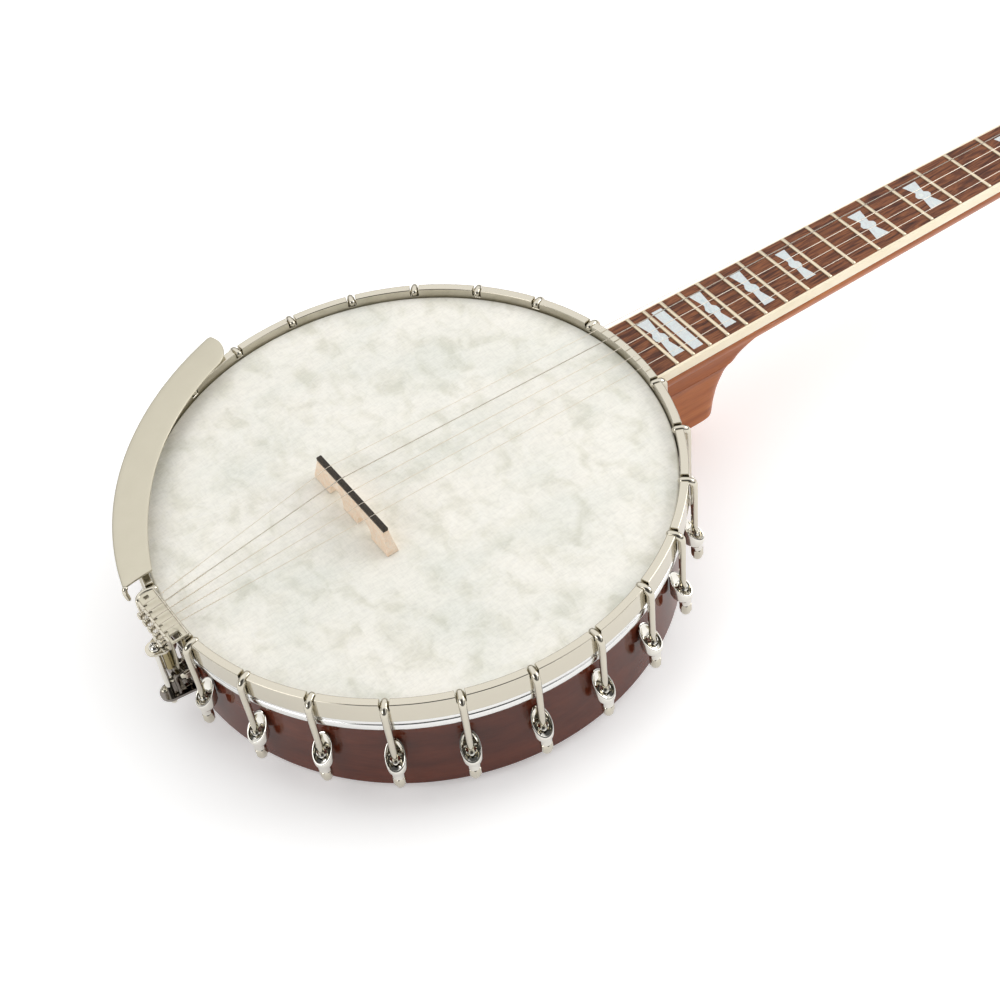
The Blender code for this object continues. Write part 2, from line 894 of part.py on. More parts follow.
bpy.context.view_layer.update()
post_of_string = {1: (TUNER_S[0], TUNER_Y), 2: (TUNER_S[1], TUNER_Y), 3: (TUNER_S[1], -TUNER_Y),
                  4: (TUNER_S[0], -TUNER_Y)}
for index in range(5):
    tail_y = TAIL_STRING_Y[index]
    route = [
        in_neck_frame(pot, (-153.6, tail_y, 3.6)),
        in_neck_frame(pot, (-152.6, tail_y, 8.0)),
        in_neck_frame(pot, (-150.4, tail_y, 8.9)),
        in_neck_frame(pot, (-140.8, tail_y, 9.9)),
        in_neck_frame(pot, (BRIDGE_X, BRIDGE_STRING_Y[index], BRIDGE_H + 0.7)),
    ]
    if index:
        route.append(Vector((NUT_X + 2.3, NUT_STRING_Y[index], 2.6)))
        s, y = post_of_string[index]
        inward = 1.0 if y > 0 else -1.0
        for turn in range(14):
            angle = -inward * (math.pi / 2 + turn * math.pi / 4)
            height = 11.2 - 0.25 * turn
            point = (s + 3.3 * math.cos(angle), y + 3.3 * math.sin(angle), height)
            route.append(in_neck_frame(peghead, point))
    else:
        route.append(Vector((PIP_X, PIP_Y, 2.9)))
        edge = fifth_side + 0.8
        route.append(Vector((FIFTH_X - 4.5, edge, 0.9)))
        for turn in range(14):
            angle = math.radians(100) - turn * math.pi / 4
            x = FIFTH_X + 3.6 * math.cos(angle)
            z = FIFTH_Z + 3.6 * math.sin(angle)
            route.append(Vector((x, fifth_side + 4.2 + 0.3 * turn, z)))
    wire("string_%d" % (5 - index), route, STRING_R, origin, "steel", resolution=0)

for item in parts.objects:
    if item.type == "MESH" and not any(m.type == "SCREW" for m in item.modifiers):
        smooth(item.data)
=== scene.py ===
"""Looks of an open-back five-string banjo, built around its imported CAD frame.

Shapes are in millimetres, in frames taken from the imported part: the pot (origin at the centre
of the head's upper face, z out of the head), the neck (origin over the head's centre at the
fretboard's level, x towards the peghead) and the peghead (origin at its root, x along its
face). Meshes become metres through MM.
"""
import json
import math

import bmesh
import bpy
from mathutils import Matrix, Vector


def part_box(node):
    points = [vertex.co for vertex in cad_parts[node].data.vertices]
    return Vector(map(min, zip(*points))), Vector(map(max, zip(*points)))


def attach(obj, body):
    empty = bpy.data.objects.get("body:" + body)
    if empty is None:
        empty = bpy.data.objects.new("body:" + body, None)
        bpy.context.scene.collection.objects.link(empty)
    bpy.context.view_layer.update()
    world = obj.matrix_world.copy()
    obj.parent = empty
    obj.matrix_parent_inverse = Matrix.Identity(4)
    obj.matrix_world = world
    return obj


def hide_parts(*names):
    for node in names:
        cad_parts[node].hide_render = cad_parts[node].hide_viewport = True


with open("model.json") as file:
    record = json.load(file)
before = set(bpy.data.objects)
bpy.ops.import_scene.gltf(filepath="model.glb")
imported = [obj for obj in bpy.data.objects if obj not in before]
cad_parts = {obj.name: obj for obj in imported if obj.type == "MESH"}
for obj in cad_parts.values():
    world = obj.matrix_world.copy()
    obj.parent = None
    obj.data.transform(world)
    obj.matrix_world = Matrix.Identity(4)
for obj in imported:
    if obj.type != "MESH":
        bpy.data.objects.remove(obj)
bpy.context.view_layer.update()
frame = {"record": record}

MM = 0.001

# pot, from the centre of the head's upper face
RIM_R, RIM_INNER_R = 139.7, 124.7
RIM_TOP, RIM_BOTTOM = -7.2, -71.3
TONE_R, TONE_ROD = 136.2, 3.1
HEAD_T, SKIRT_BOTTOM = 0.4, -14.0
HOOP_R, HOOP_INNER_R = 145.5, 140.8
HOOP_TOP, HOOP_BOTTOM = 5.35, -8.2
FLESH_R, FLESH_TOP, FLESH_BOTTOM = 144.3, -8.5, -17.4
NOTCH_HALF, NOTCH_FLOOR = 2.5, 0.9

# brackets
FIRST_HOOK, HOOK_STEP, HOOKS_PER_SIDE = 11.66, 14.52, 12
HOOK_Z, HOOK_SHAFT_R = 3.1, 147.9
SHOE_BOLT_Z, ROD_Z = -37.0, -38.0

# bridge and string spacings, long strings last
BRIDGE_X, BRIDGE_H = -32.7, 16.2
BRIDGE_STRING_Y = (22.1, 10.9, 0.2, -10.3, -20.8)
TAIL_STRING_Y = (10.8, 5.4, 0.0, -5.4, -10.8)
NUT_STRING_Y = (16.6, 8.4, 1.2, -5.8, -13.3)
STRING_R = (0.16, 0.27, 0.2, 0.17, 0.16)

# armrest, as angles round the pot
ARM_START, ARM_END, ARM_SLANT, ARM_MIDDLE = 100.8, 168.4, 1.6, 142.0

# neck, from the fretboard's upper face
SCALE, NUT_X, FRETS = 666.75, 639.6, 22
BOARD_T, NUT_T = 6.0, 4.0
BOARD_HALF_AT_NUT, BOARD_TAPER, NARROW_BASS_AT_NUT = 17.15, 0.0148, 14.4
STEP_X, STEP_END_X = 508.0, 522.0
BASS_BINDING, TREBLE_BINDING = 1.1, 1.7
NECK_START, NECK_END, WOOD_TOP = 128.0, 646.0, -6.3

# peghead
PEG_FACE_S, PEG_T = 93.0, 15.0
TUNER_S, TUNER_Y, BUTTON_TIP = (62.0, 124.0), 21.0, -46.0
FIFTH_X, FIFTH_Z, PIP_X = 496.0, -12.0, 478.5

# studio: the view, then the sky's brightness by height, and by nearness to the studio's dark side
VIEW_AZIMUTH, VIEW_ELEVATION, VIEW_ROLL, VIEW_DISTANCE = -30.93, 47.14, -5.45, 1.0431
SKY = ((0.0, 0.95), (0.07, 0.9), (0.12, 0.12), (0.22, 0.2), (0.38, 0.95), (1.0, 1.0))
DARK_SIDE = ((0.76, 1.0), (0.88, 0.1))
SKY_STRENGTH = 0.93
FLOOR_RADIUS, FLOOR_Z, FLOOR_GLOW = 9.0, -0.0002, 0.3
LENS, SENSOR, AIM_OFFSET = 73.08, 36.0, (30.29, -39.63, 0.0)


# ---------------------------------------------------------------- frames


def upright(origin, up):
    """A frame at origin whose z is up and whose y is the world's Y."""
    z = Vector(up).normalized()
    y = Vector((0.0, 1.0, 0.0))
    return Matrix.Translation(origin) @ Matrix((y.cross(z), y, z)).transposed().to_4x4()


mounts = {m["name"]: (Vector(m["pos_m"]), Vector(m["axis"])) for m in frame["record"]["mounts"]}
back_spot, back_axis = mounts["rim_back"]
face_spot, face_axis = mounts["peghead_face"]
head_centre = Vector((back_spot.x, face_spot.y, back_spot.z)) - back_axis * -RIM_BOTTOM * MM
board_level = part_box("fretboard")[0].z + BOARD_T * MM
POT = upright(head_centre, -back_axis)
NECK = upright((head_centre.x, head_centre.y, board_level), (0, 0, 1))
PEG = upright(face_spot, face_axis)
PEG = PEG @ Matrix.Translation((-PEG_FACE_S * MM, 0, 0))


def turn(axis, degrees):
    """A turn about an axis."""
    return Matrix.Rotation(math.radians(degrees), 4, axis)


def shift(x, y, z):
    """A move in millimetres."""
    return Matrix.Translation(Vector((x, y, z)) * MM)


def link(piece):
    """Put an object in the scene."""
    bpy.context.scene.collection.objects.link(piece)


hook_angles = [-(FIRST_HOOK + k * HOOK_STEP) for k in range(HOOKS_PER_SIDE)]
hook_angles += [FIRST_HOOK + k * HOOK_STEP for k in range(HOOKS_PER_SIDE)]


# ---------------------------------------------------------------- materials


def colour(red, green, blue):
    """A colour as it looks on a screen, 0 to 255, as linear values."""
    def linear(value):
        value /= 255
        return value / 12.92 if value <= 0.04045 else ((value + 0.055) / 1.055) ** 2.4
    return (linear(red), linear(green), linear(blue), 1.0)


def grey(value):
    """A grey as a linear value."""
    return (value, value, value, 1.0)


def fill_ramp(band, stops):
    """Give a colour ramp its stops, each a position and a colour."""
    band.elements.remove(band.elements[1])
    band.elements[0].position, band.elements[0].color = stops[0]
    for spot, shade in stops[1:]:
        band.elements.new(spot).color = shade


class Look:
    """A node material being made. Its patterns are laid out in millimetres of its piece."""

    def __init__(self, name, slot, **inputs):
        self.slot = slot
        self.material = bpy.data.materials.new(name)
        self.material.use_nodes = True
        self.tree = self.material.node_tree
        self.shader = self.tree.nodes["Principled BSDF"]
        place = self.node("TexCoord").outputs["Object"]
        self.place = self.vector("SCALE", place, Scale=1 / MM)
        self.set(**inputs)

    def node(self, kind, inputs=None, **settings):
        made = self.tree.nodes.new("ShaderNode" + kind)
        for key, value in settings.items():
            setattr(made, key, value)
        for key, value in (inputs or {}).items():
            self.put(made.inputs[key], value)
        return made

    def put(self, socket, value):
        if isinstance(value, bpy.types.NodeSocket):
            self.tree.links.new(value, socket)
        else:
            socket.default_value = value

    def set(self, **inputs):
        for key, value in inputs.items():
            self.put(self.shader.inputs[key.replace("_", " ")], value)

    def vector(self, operation, first, second=None, **inputs):
        values = {0: first, **inputs}
        if second is not None:
            values[1] = second
        return self.node("VectorMath", values, operation=operation).outputs[0]

    def calc(self, operation, first, second=0.0):
        return self.node("Math", {0: first, 1: second}, operation=operation).outputs[0]

    def noise(self, size, detail=3.0, stretch=(1, 1, 1), distortion=0.0, place=None):
        """Noise with blotches of about size millimetres, longer along the stretched axes."""
        scale = [1.0 / (size * s) for s in stretch]
        spot = self.vector("MULTIPLY", place or self.place, scale)
        inputs = {"Vector": spot, "Scale": 1.0, "Detail": detail, "Distortion": distortion}
        return self.node("TexNoise", inputs).outputs[0]

    def ramp(self, value, *stops):
        made = self.node("ValToRGB", {0: value})
        fill_ramp(made.color_ramp, stops)
        return made.outputs[0]

    def mix(self, share, first, second, blend="MIX"):
        inputs = {0: share, 6: first, 7: second}
        return self.node("Mix", inputs, data_type="RGBA", blend_type=blend).outputs[2]

    def spread(self, value, low, high, start=0.0, end=1.0):
        """Map start..end onto low..high."""
        inputs = {0: value, 1: start, 2: end, 3: low, 4: high}
        return self.node("MapRange", inputs).outputs[0]

    def bump(self, height, depth, strength=1.0):
        """Raise the surface by a height of 0 to 1 that stands for depth millimetres."""
        inputs = {"Height": height, "Distance": depth * MM, "Strength": strength}
        self.set(Normal=self.node("Bump", inputs).outputs[0])


def metal(name, slot, shade, roughness, smears=0.05, grain=0.0, stretch=(1, 1, 1)):
    """A plated or bare metal with faint smears, and a brushed grain where it has one."""
    look = Look(name, slot, Metallic=1.0, Base_Color=shade)
    smear = look.noise(9.0, 4.0)
    speck = look.noise(0.7, 2.0, stretch)
    blotch = look.spread(smear, roughness - smears / 2, roughness + smears, 0.3, 0.7)
    look.set(Roughness=look.calc("ADD", blotch, look.spread(speck, 0.0, grain, 0.3, 0.7)))
    look.bump(speck, 0.004 + grain * 0.06, 0.35)
    return look


def rim_look():
    """Dark stained maple plies running round the rim, under a thick gloss lacquer."""
    look = Look("rim_wood", "rim", Roughness=0.5)
    look.set(Coat_Weight=0.75, Coat_Roughness=0.03, Coat_IOR=1.42)
    parts = look.node("SeparateXYZ", {0: look.place}).outputs
    angle = look.calc("MULTIPLY", look.calc("ARCTAN2", parts[1], parts[0]), RIM_R)
    radius = look.node("VectorMath", {0: look.place}, operation="LENGTH").outputs[1]
    spot = look.node("CombineXYZ", {0: angle, 1: radius, 2: parts[2]}).outputs[0]
    figure = look.noise(14.0, 4.0, (3, 1, 1), 0.6, spot)
    pores = look.noise(0.9, 2.0, (10, 1, 1), 0.0, spot)
    tone = look.ramp(figure, (0.3, colour(82, 38, 25)), (0.5, colour(91, 42, 27)),
                     (0.7, colour(101, 48, 30)))
    dark = look.ramp(pores, (0.35, grey(0.86)), (0.55, grey(1.0)))
    look.set(Base_Color=look.mix(0.8, tone, dark, "MULTIPLY"), Specular_IOR_Level=0.0)
    look.bump(look.noise(30.0, 2.0), 0.04, 0.3)
    return look


def grained(name, slot, shades, figure_size, length, pore, **inputs):
    """Wood with its grain along x: broad streaks of the shades, and fine dark pores."""
    look = Look(name, slot, **inputs)
    figure = look.noise(figure_size, 4.0, (length, 1, 1), 0.8)
    fine = look.noise(0.45, 3.0, (length * 2.2, 1, 1), 0.2)
    stops = [(0.3 + 0.42 * k / (len(shades) - 1), shade) for k, shade in enumerate(shades)]
    tone = look.ramp(figure, *stops)
    dark = look.ramp(fine, (0.36, grey(1.0 - pore)), (0.52, grey(1.0)))
    look.set(Base_Color=look.mix(1.0, tone, dark, "MULTIPLY"))
    look.bump(fine, 0.06, 0.25)
    return look


def film_look():
    """Skin-like drum film: faint grey-green clouds and soft fibre streaks on warm white."""
    look = Look("head_film", "head", Roughness=0.5, IOR=1.4)
    clouds = look.noise(44.0, 10.0, (1.3, 1, 1), 0.3)
    patches = look.noise(13.0, 10.0, (1, 1.4, 1), 0.5)
    base = look.ramp(clouds, (0.34, colour(235, 235, 225)), (0.47, colour(244, 242, 232)),
                     (0.58, colour(248, 245, 235)))
    spots = look.ramp(patches, (0.33, colour(237, 237, 232)), (0.44, colour(249, 249, 247)),
                      (0.54, grey(1.0)))
    tone = look.mix(1.0, base, spots, "MULTIPLY")
    for stretch, size in (((5, 1, 1), 0.9), ((1, 5, 1), 1.1), ((2, 1, 1), 2.6)):
        fibre = look.noise(size, 6.0, stretch, 0.8)
        streak = look.ramp(fibre, (0.36, grey(0.92)), (0.55, grey(1.0)))
        tone = look.mix(0.6, tone, streak, "MULTIPLY")
    fibres = look.noise(20.0, 6.0, (1.6, 1, 1), 0.7)
    vein = look.calc("ABSOLUTE", look.calc("SUBTRACT", fibres, 0.5))
    pale = look.ramp(vein, (0.0, grey(0.22)), (0.02, grey(0.0)))
    look.set(Base_Color=look.mix(pale, tone, colour(250, 249, 243)))
    look.bump(look.noise(1.2, 3.0), 0.02, 0.3)
    return look


def pearl_look():
    """Mother-of-pearl: soft clouds of silver, pink and green under a clear polish."""
    look = Look("pearl", "fretboard", Roughness=0.22, Coat_Weight=0.6, Coat_Roughness=0.05)
    swirl = look.noise(4.5, 4.0, (1, 1.6, 1), 2.4)
    tone = look.ramp(swirl, (0.3, colour(188, 204, 206)), (0.45, colour(214, 224, 224)),
                     (0.55, colour(206, 210, 212)), (0.7, colour(222, 230, 224)))
    look.set(Base_Color=tone, Specular_IOR_Level=0.7)
    look.bump(swirl, 0.02, 0.3)
    return look


def moulded(name, slot, shade, second, size, **inputs):
    """Cast or cut plastic or bone with faint clouds of a second shade."""
    look = Look(name, slot, **inputs)
    clouds = look.noise(size, 4.0, (1.8, 1, 1), 1.5)
    look.set(Base_Color=look.mix(look.spread(clouds, 0, 1, 0.35, 0.65), shade, second))
    look.bump(look.noise(0.9, 2.0), 0.01, 0.3)
    return look


def wound_look():
    """Wire wound closely round a core: fine ridges across the string."""
    look = metal("wound_wire", "string", colour(206, 198, 184), 0.3)
    ridges = look.node("TexWave", {"Vector": look.place, "Scale": 1.6}, bands_direction="X")
    look.bump(ridges.outputs[1], 0.08, 0.8)
    return look


NICKEL = colour(200, 194, 179)
LOOKS = {
    "nickel": metal("polished_nickel", "nickel", NICKEL, 0.07),
    "chrome": metal("bright_nickel", "nickel", colour(222, 219, 211), 0.035, 0.02),
    "dark": metal("dark_nickel", "nickel", colour(130, 124, 118), 0.05),
    "satin": metal("satin_nickel", "satin_nickel", colour(203, 197, 179), 0.42, 0.03, 0.06),
    "aluminium": metal("bright_aluminium", "flesh_hoop", colour(226, 226, 224), 0.14, 0.04, 0.03),
    "brass": metal("brass", "tone_ring", colour(214, 178, 110), 0.25),
    "sleeve": metal("tarnished_sleeve", "nickel", colour(150, 138, 104), 0.25),
    "steel": metal("plain_steel", "steel", colour(190, 186, 180), 0.3, 0.06, 0.08),
    "fret": metal("fret_wire", "nickel", colour(226, 212, 186), 0.34),
    "wire": metal("plain_wire", "string", colour(232, 222, 206), 0.35),
    "wound": wound_look(),
    "rim": rim_look(),
    "neck": grained(
        "neck_wood", "neck",
        [colour(150, 76, 26), colour(170, 93, 38), colour(184, 107, 48)],
        9.0, 9.0, 0.18, Roughness=0.35, Coat_Weight=0.3, Coat_Roughness=0.08, Specular_IOR_Level=0.1),
    "board": grained(
        "board_wood", "fretboard",
        [colour(62, 32, 22), colour(104, 58, 36), colour(144, 88, 54), colour(92, 48, 32)],
        2.4, 9.0, 0.5, Roughness=0.5, Specular_IOR_Level=0.3),
    "maple": grained(
        "bridge_maple", "bridge",
        [colour(252, 220, 190), colour(254, 232, 208), colour(255, 238, 220)],
        3.0, 1.0, 0.1, Roughness=0.5),
    "ebony": grained(
        "ebony", "bridge", [colour(30, 25, 20), colour(50, 42, 33), colour(70, 60, 46)],
        1.6, 0.8, 0.3, Roughness=0.45, Specular_IOR_Level=0.3),
    "veneer": grained(
        "peghead_veneer", "neck", [colour(14, 12, 12), colour(22, 19, 18)],
        6.0, 10.0, 0.2, Roughness=0.4, Coat_Weight=0.5, Coat_Roughness=0.05, Specular_IOR_Level=0.2),
    "film": film_look(),
    "pearl": pearl_look(),
    "binding": moulded("cream_binding", "fretboard", colour(250, 238, 212),
                       colour(246, 232, 202), 22.0, Roughness=0.35, Coat_Weight=0.3),
    "bone": moulded("bone", "bone", colour(240, 232, 212), colour(228, 216, 190), 3.0,
                    Roughness=0.35),
    "button": moulded("pearly_button", "button", colour(238, 228, 204),
                      colour(250, 244, 230), 5.0, Roughness=0.2, Coat_Weight=0.5),
}


# ---------------------------------------------------------------- mesh tools


def lathe(profile, steps=96, closed=False):
    """Turn a profile of (radius, height) round Z."""
    rings = []
    for k in range(steps):
        angle = 2 * math.pi * k / steps
        rings.append([(r * math.cos(angle), r * math.sin(angle), z) for r, z in profile])
    form = loft(rings, caps=False, cyclic=True, open_ring=not closed)
    bmesh.ops.remove_doubles(form, verts=form.verts, dist=1e-7)
    return form


def turned(profile, corner, steps):
    """A lathed form whose open profile has its corners rounded."""
    return lathe(rounded(profile, corner, 4, closed=False), steps)


def rod(radius, low, high, steps=24):
    """A plain round bar along Z."""
    return lathe([(0, low), (radius, low), (radius, high), (0, high)], steps)


def loft(rings, caps=True, cyclic=False, open_ring=False):
    """A surface through rings of points that all have the same count."""
    form = bmesh.new()
    rows = [[form.verts.new(Vector(p) * MM) for p in ring] for ring in rings]
    pairs = list(zip(rows, rows[1:]))
    if cyclic:
        pairs.append((rows[-1], rows[0]))
    count = len(rows[0])
    for near, far in pairs:
        for k in range(count - 1 if open_ring else count):
            n = (k + 1) % count
            form.faces.new((near[k], near[n], far[n], far[k]))
    if caps and not cyclic:
        form.faces.new(rows[0])
        form.faces.new(rows[-1])
    return form


def rounded(points, radius, steps=4, closed=True):
    """A flat outline with its corners made arcs. A third value sets one corner's radius."""
    made = []
    count = len(points)
    for k, point in enumerate(points):
        here = Vector(point[:2])
        reach = point[2] if len(point) > 2 else radius
        if reach <= 0 or (not closed and k in (0, count - 1)):
            made.append(here)
            continue
        back = Vector(points[k - 1][:2]) - here
        on = Vector(points[(k + 1) % count][:2]) - here
        half = back.angle(on) / 2
        if half > math.radians(88):
            made.append(here)
            continue
        length = min(reach / math.tan(half), back.length / 2, on.length / 2)
        size = length * math.tan(half)
        centre = here + (back.normalized() + on.normalized()).normalized() * size / math.sin(half)
        first = here + back.normalized() * length - centre
        last = here + on.normalized() * length - centre
        sweep = -first.angle_signed(last)
        for j in range(steps + 1):
            part = sweep * j / steps
            spin = Matrix.Rotation(part, 2)
            made.append(centre + spin @ first)
    return [tuple(p) for p in made]


def tube(path, radius, sides=12):
    """A rod with domed ends along a path, as thick as radius or as a list of radii."""
    path = [Vector(p) for p in path]
    radii = list(radius) if hasattr(radius, "__len__") else [radius] * len(path)
    for first in (True, False):
        end, inner = (path[0], path[1]) if first else (path[-1], path[-2])
        out = (end - inner).normalized()
        size = radii[0] if first else radii[-1]
        for share in (0.35, 0.68, 0.95):
            lift = math.radians(90 * share)
            point = end + out * size * math.sin(lift)
            path.insert(0 if first else len(path), point)
            radii.insert(0 if first else len(radii), size * math.cos(lift))
    along = (path[1] - path[0]).normalized()
    side = along.orthogonal().normalized()
    rings = []
    for k, point in enumerate(path):
        ahead = (path[min(k + 1, len(path) - 1)] - path[max(k - 1, 0)]).normalized()
        side = along.rotation_difference(ahead) @ side
        along = ahead
        up = along.cross(side)
        angles = [2 * math.pi * j / sides for j in range(sides)]
        rings.append([point + (side * math.cos(a) + up * math.sin(a)) * radii[k] for a in angles])
    return loft(rings)


def flowing(points, steps=8):
    """A smooth path through points (Catmull-Rom)."""
    points = [Vector(p) for p in points]
    ends = [points[0] * 2 - points[1]] + points + [points[-1] * 2 - points[-2]]
    path = []
    for a, b, c, d in zip(ends, ends[1:], ends[2:], ends[3:]):
        for k in range(steps):
            t = k / steps
            path.append(((b * 2) + (c - a) * t + (a * 2 - b * 5 + c * 4 - d) * t * t
                         + (b * 3 - a - c * 3 + d) * t ** 3) * 0.5)
    return path + [points[-1]]


def flat_curve(points, steps):
    """A smooth flat path through flat points."""
    return [(p.x, p.y) for p in flowing([(x, y, 0) for x, y in points], steps)]


def mirrored(half):
    """An outline of (across, along) points, with its other side added."""
    return half + [(-across, along) for across, along in reversed(half)]


def oval(across, along, z, count=40, middle=0.0):
    """A ring of points. z may be a height or a rule that gives it from x."""
    ring = []
    for k in range(count):
        angle = 2 * math.pi * k / count
        x = middle + across * math.cos(angle)
        ring.append((x, along * math.sin(angle), z(x) if callable(z) else z))
    return ring


def polar(radius, degrees, z=0.0):
    """The point at an angle round Z."""
    angle = math.radians(degrees)
    return (radius * math.cos(angle), radius * math.sin(angle), z)


def arc(centre, radius, start, end, steps):
    """Points on a flat arc, angles in degrees."""
    angles = [math.radians(start + (end - start) * k / steps) for k in range(steps + 1)]
    return [(centre[0] + radius * math.cos(a), centre[1] + radius * math.sin(a)) for a in angles]


def plate(outlines, low, high):
    """A flat plate between two heights. Outlines after the first are holes."""
    curve = bpy.data.curves.new("outline", "CURVE")
    curve.dimensions = "2D"
    curve.fill_mode = "BOTH"
    curve.extrude = (high - low) / 2 * MM
    for points in outlines:
        spline = curve.splines.new("POLY")
        spline.points.add(len(points) - 1)
        for point, (x, y) in zip(spline.points, points):
            point.co = (x * MM, y * MM, 0.0, 1.0)
        spline.use_cyclic_u = True
    flat = bpy.data.objects.new("outline", curve)
    form = evaluated(flat)
    bmesh.ops.translate(form, verts=form.verts, vec=(0, 0, (high + low) / 2 * MM))
    return form


def evaluated(piece):
    """A bmesh of an object with its modifiers done; the object is removed."""
    link(piece)
    bpy.context.view_layer.update()
    graph = bpy.context.evaluated_depsgraph_get()
    mesh = bpy.data.meshes.new_from_object(piece.evaluated_get(graph))
    form = bmesh.new()
    form.from_mesh(mesh)
    bmesh.ops.remove_doubles(form, verts=form.verts, dist=1e-6)
    bpy.data.objects.remove(piece, do_unlink=True)
    bpy.data.meshes.remove(mesh)
    return form


def block(low, high):
    """A block between two corners."""
    (ax, ay, az), (bx, by, bz) = low, high
    corners = ((ax, ay), (bx, ay), (bx, by), (ax, by))
    return loft([[(x, y, z) for x, y in corners] for z in (az, bz)])


def prism(stations, flats, steps=48):
    """A hexagon along Z, trimmed to the radius that each (height, radius) allows."""
    rings = []
    for z, limit in stations:
        ring = []
        for k in range(steps):
            angle = 2 * math.pi * k / steps
            side = flats / 2 / math.cos(angle % (math.pi / 3) - math.pi / 6)
            radius = min(side, limit)
            ring.append((radius * math.cos(angle), radius * math.sin(angle), z))
        rings.append(ring)
    return loft(rings)


def moved(form, matrix):
    """A form after a turn or a move."""
    bmesh.ops.transform(form, matrix=matrix, verts=form.verts)
    return form


def mesh_of(form, name, crisp=35.0):
    """The smooth-shaded mesh of a bmesh. Edges over crisp degrees stay sharp."""
    bmesh.ops.recalc_face_normals(form, faces=form.faces)
    mesh = bpy.data.meshes.new(name)
    form.to_mesh(mesh)
    form.free()
    mesh.shade_smooth()
    mesh.set_sharp_from_angle(angle=math.radians(crisp))
    return mesh


def carved(form, *tools):
    """A form with the tool forms cut out of it."""
    target = bpy.data.objects.new("target", mesh_of(form, "target"))
    cutters = []
    for tool in tools:
        cutter = bpy.data.objects.new("cutter", mesh_of(tool, "cutter"))
        link(cutter)
        cutters.append(cutter)
        step = target.modifiers.new("cut", "BOOLEAN")
        step.object = cutter
        step.solver = "EXACT"
    made = evaluated(target)
    for cutter in cutters:
        bpy.data.objects.remove(cutter, do_unlink=True)
    return made


def show(name, shape, where, look, nodes=(), body="banjo", edge=0.0, crisp=35.0, even=False):
    """Put a form or a mesh in the scene as a piece riding on a body, for its CAD nodes.

    edge rounds its sharp edges by that many millimetres. even keeps its flat faces flat.
    """
    mesh = shape if isinstance(shape, bpy.types.Mesh) else mesh_of(shape, name, crisp)
    if not mesh.materials:
        mesh.materials.append(LOOKS[look].material)
    piece = bpy.data.objects.new(name, mesh)
    link(piece)
    piece.matrix_world = where
    if edge:
        bevel = piece.modifiers.new("edges", "BEVEL")
        bevel.width = edge * MM
        bevel.segments = 3
        bevel.limit_method = "ANGLE"
        bevel.angle_limit = math.radians(40)
    if edge or even:
        piece.modifiers.new("even", "WEIGHTED_NORMAL").keep_sharp = not edge
    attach(piece, body)
    if nodes:
        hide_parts(*nodes)
    return piece


# ---------------------------------------------------------------- pot


def make_rim():
    """The wooden ring, its lower corners rounded more than its upper ones."""
    profile = rounded([(RIM_R, RIM_TOP), (RIM_R, RIM_BOTTOM, 2.5), (RIM_INNER_R, RIM_BOTTOM, 2.5),
                       (RIM_INNER_R, RIM_TOP)], 1.2)
    show("rim_wood", lathe(profile, 256, closed=True), POT, "rim", ["rim"], even=True)


def make_head():
    """The tone ring, the film pulled over it, and the metal hoop that holds the film."""
    tone_z = -HEAD_T - 0.3 - TONE_ROD
    ring = arc((TONE_R, tone_z), TONE_ROD, 0, 345, 23)
    show("tone_ring_rod", lathe(ring, 192, closed=True), POT, "brass", ["tone_ring"])
    skirt, skirt_inside = 140.45, 140.1
    outer = [(0, 0), (skirt, 0), (skirt, SKIRT_BOTTOM)]
    outer = rounded(outer, 1.3, 6, closed=False)
    inner = [(skirt_inside, SKIRT_BOTTOM), (skirt_inside, -HEAD_T), (0, -HEAD_T)]
    inner = rounded(inner, 1.0, 6, closed=False)
    show("head_film", lathe(outer + inner, 256), POT, "film", ["head"])
    crease = (FLESH_TOP + FLESH_BOTTOM) / 2 + 0.8
    profile = rounded([(HOOP_INNER_R, FLESH_TOP), (FLESH_R, FLESH_TOP, 0.8), (FLESH_R, crease + 0.5, 0.8),
                       (FLESH_R - 0.7, crease), (FLESH_R, crease - 0.5, 0.8),
                       (FLESH_R, FLESH_BOTTOM, 2.2), (HOOP_INNER_R, FLESH_BOTTOM, 1.0)], 0.15, 5)
    show("flesh_hoop_ring", lathe(profile, 256, closed=True), POT, "aluminium", ["flesh_hoop"])


def make_tension_hoop():
    """The hoop as sections round the pot. Its top drops into a round-cornered notch at each hook."""
    depth = HOOP_TOP - NOTCH_FLOOR
    notch = [(0.84, 0.0), (0.92, 0.08), (0.98, 0.22), (1.0, 0.4), (1.004, 0.88), (1.03, 0.96),
             (1.08, 1.0), (1.2, 1.0)]
    half = [(NOTCH_HALF * s, NOTCH_FLOOR + depth * h) for s, h in [(0.4, 0.0)] + notch]
    across = [(-s, z) for s, z in reversed(half)] + half
    middle = (HOOP_R + HOOP_INNER_R) / 2
    stations = []
    ordered = sorted(a % 360 for a in hook_angles)
    for k, angle in enumerate(ordered):
        stations += [(angle + math.degrees(s / middle), z) for s, z in across]
        following = ordered[(k + 1) % len(ordered)] + (360 if k == len(ordered) - 1 else 0)
        edge = math.degrees(half[-1][0] / middle)
        gap = following - angle - 2 * edge
        fills = max(4, round(gap / 1.5))
        stations += [(angle + edge + gap * j / fills, HOOP_TOP) for j in range(1, fills)]
    rings = []
    for angle, top in stations:
        section = rounded([(HOOP_R, HOOP_BOTTOM), (HOOP_R, top), (HOOP_INNER_R, top),
                           (HOOP_INNER_R, HOOP_BOTTOM)], 0.7, 4)
        rings.append([polar(r, angle, z) for r, z in section])
    show("tension_hoop_ring", loft(rings, cyclic=True), POT, "nickel", ["tension_hoop"], even=True)


# ---------------------------------------------------------------- brackets


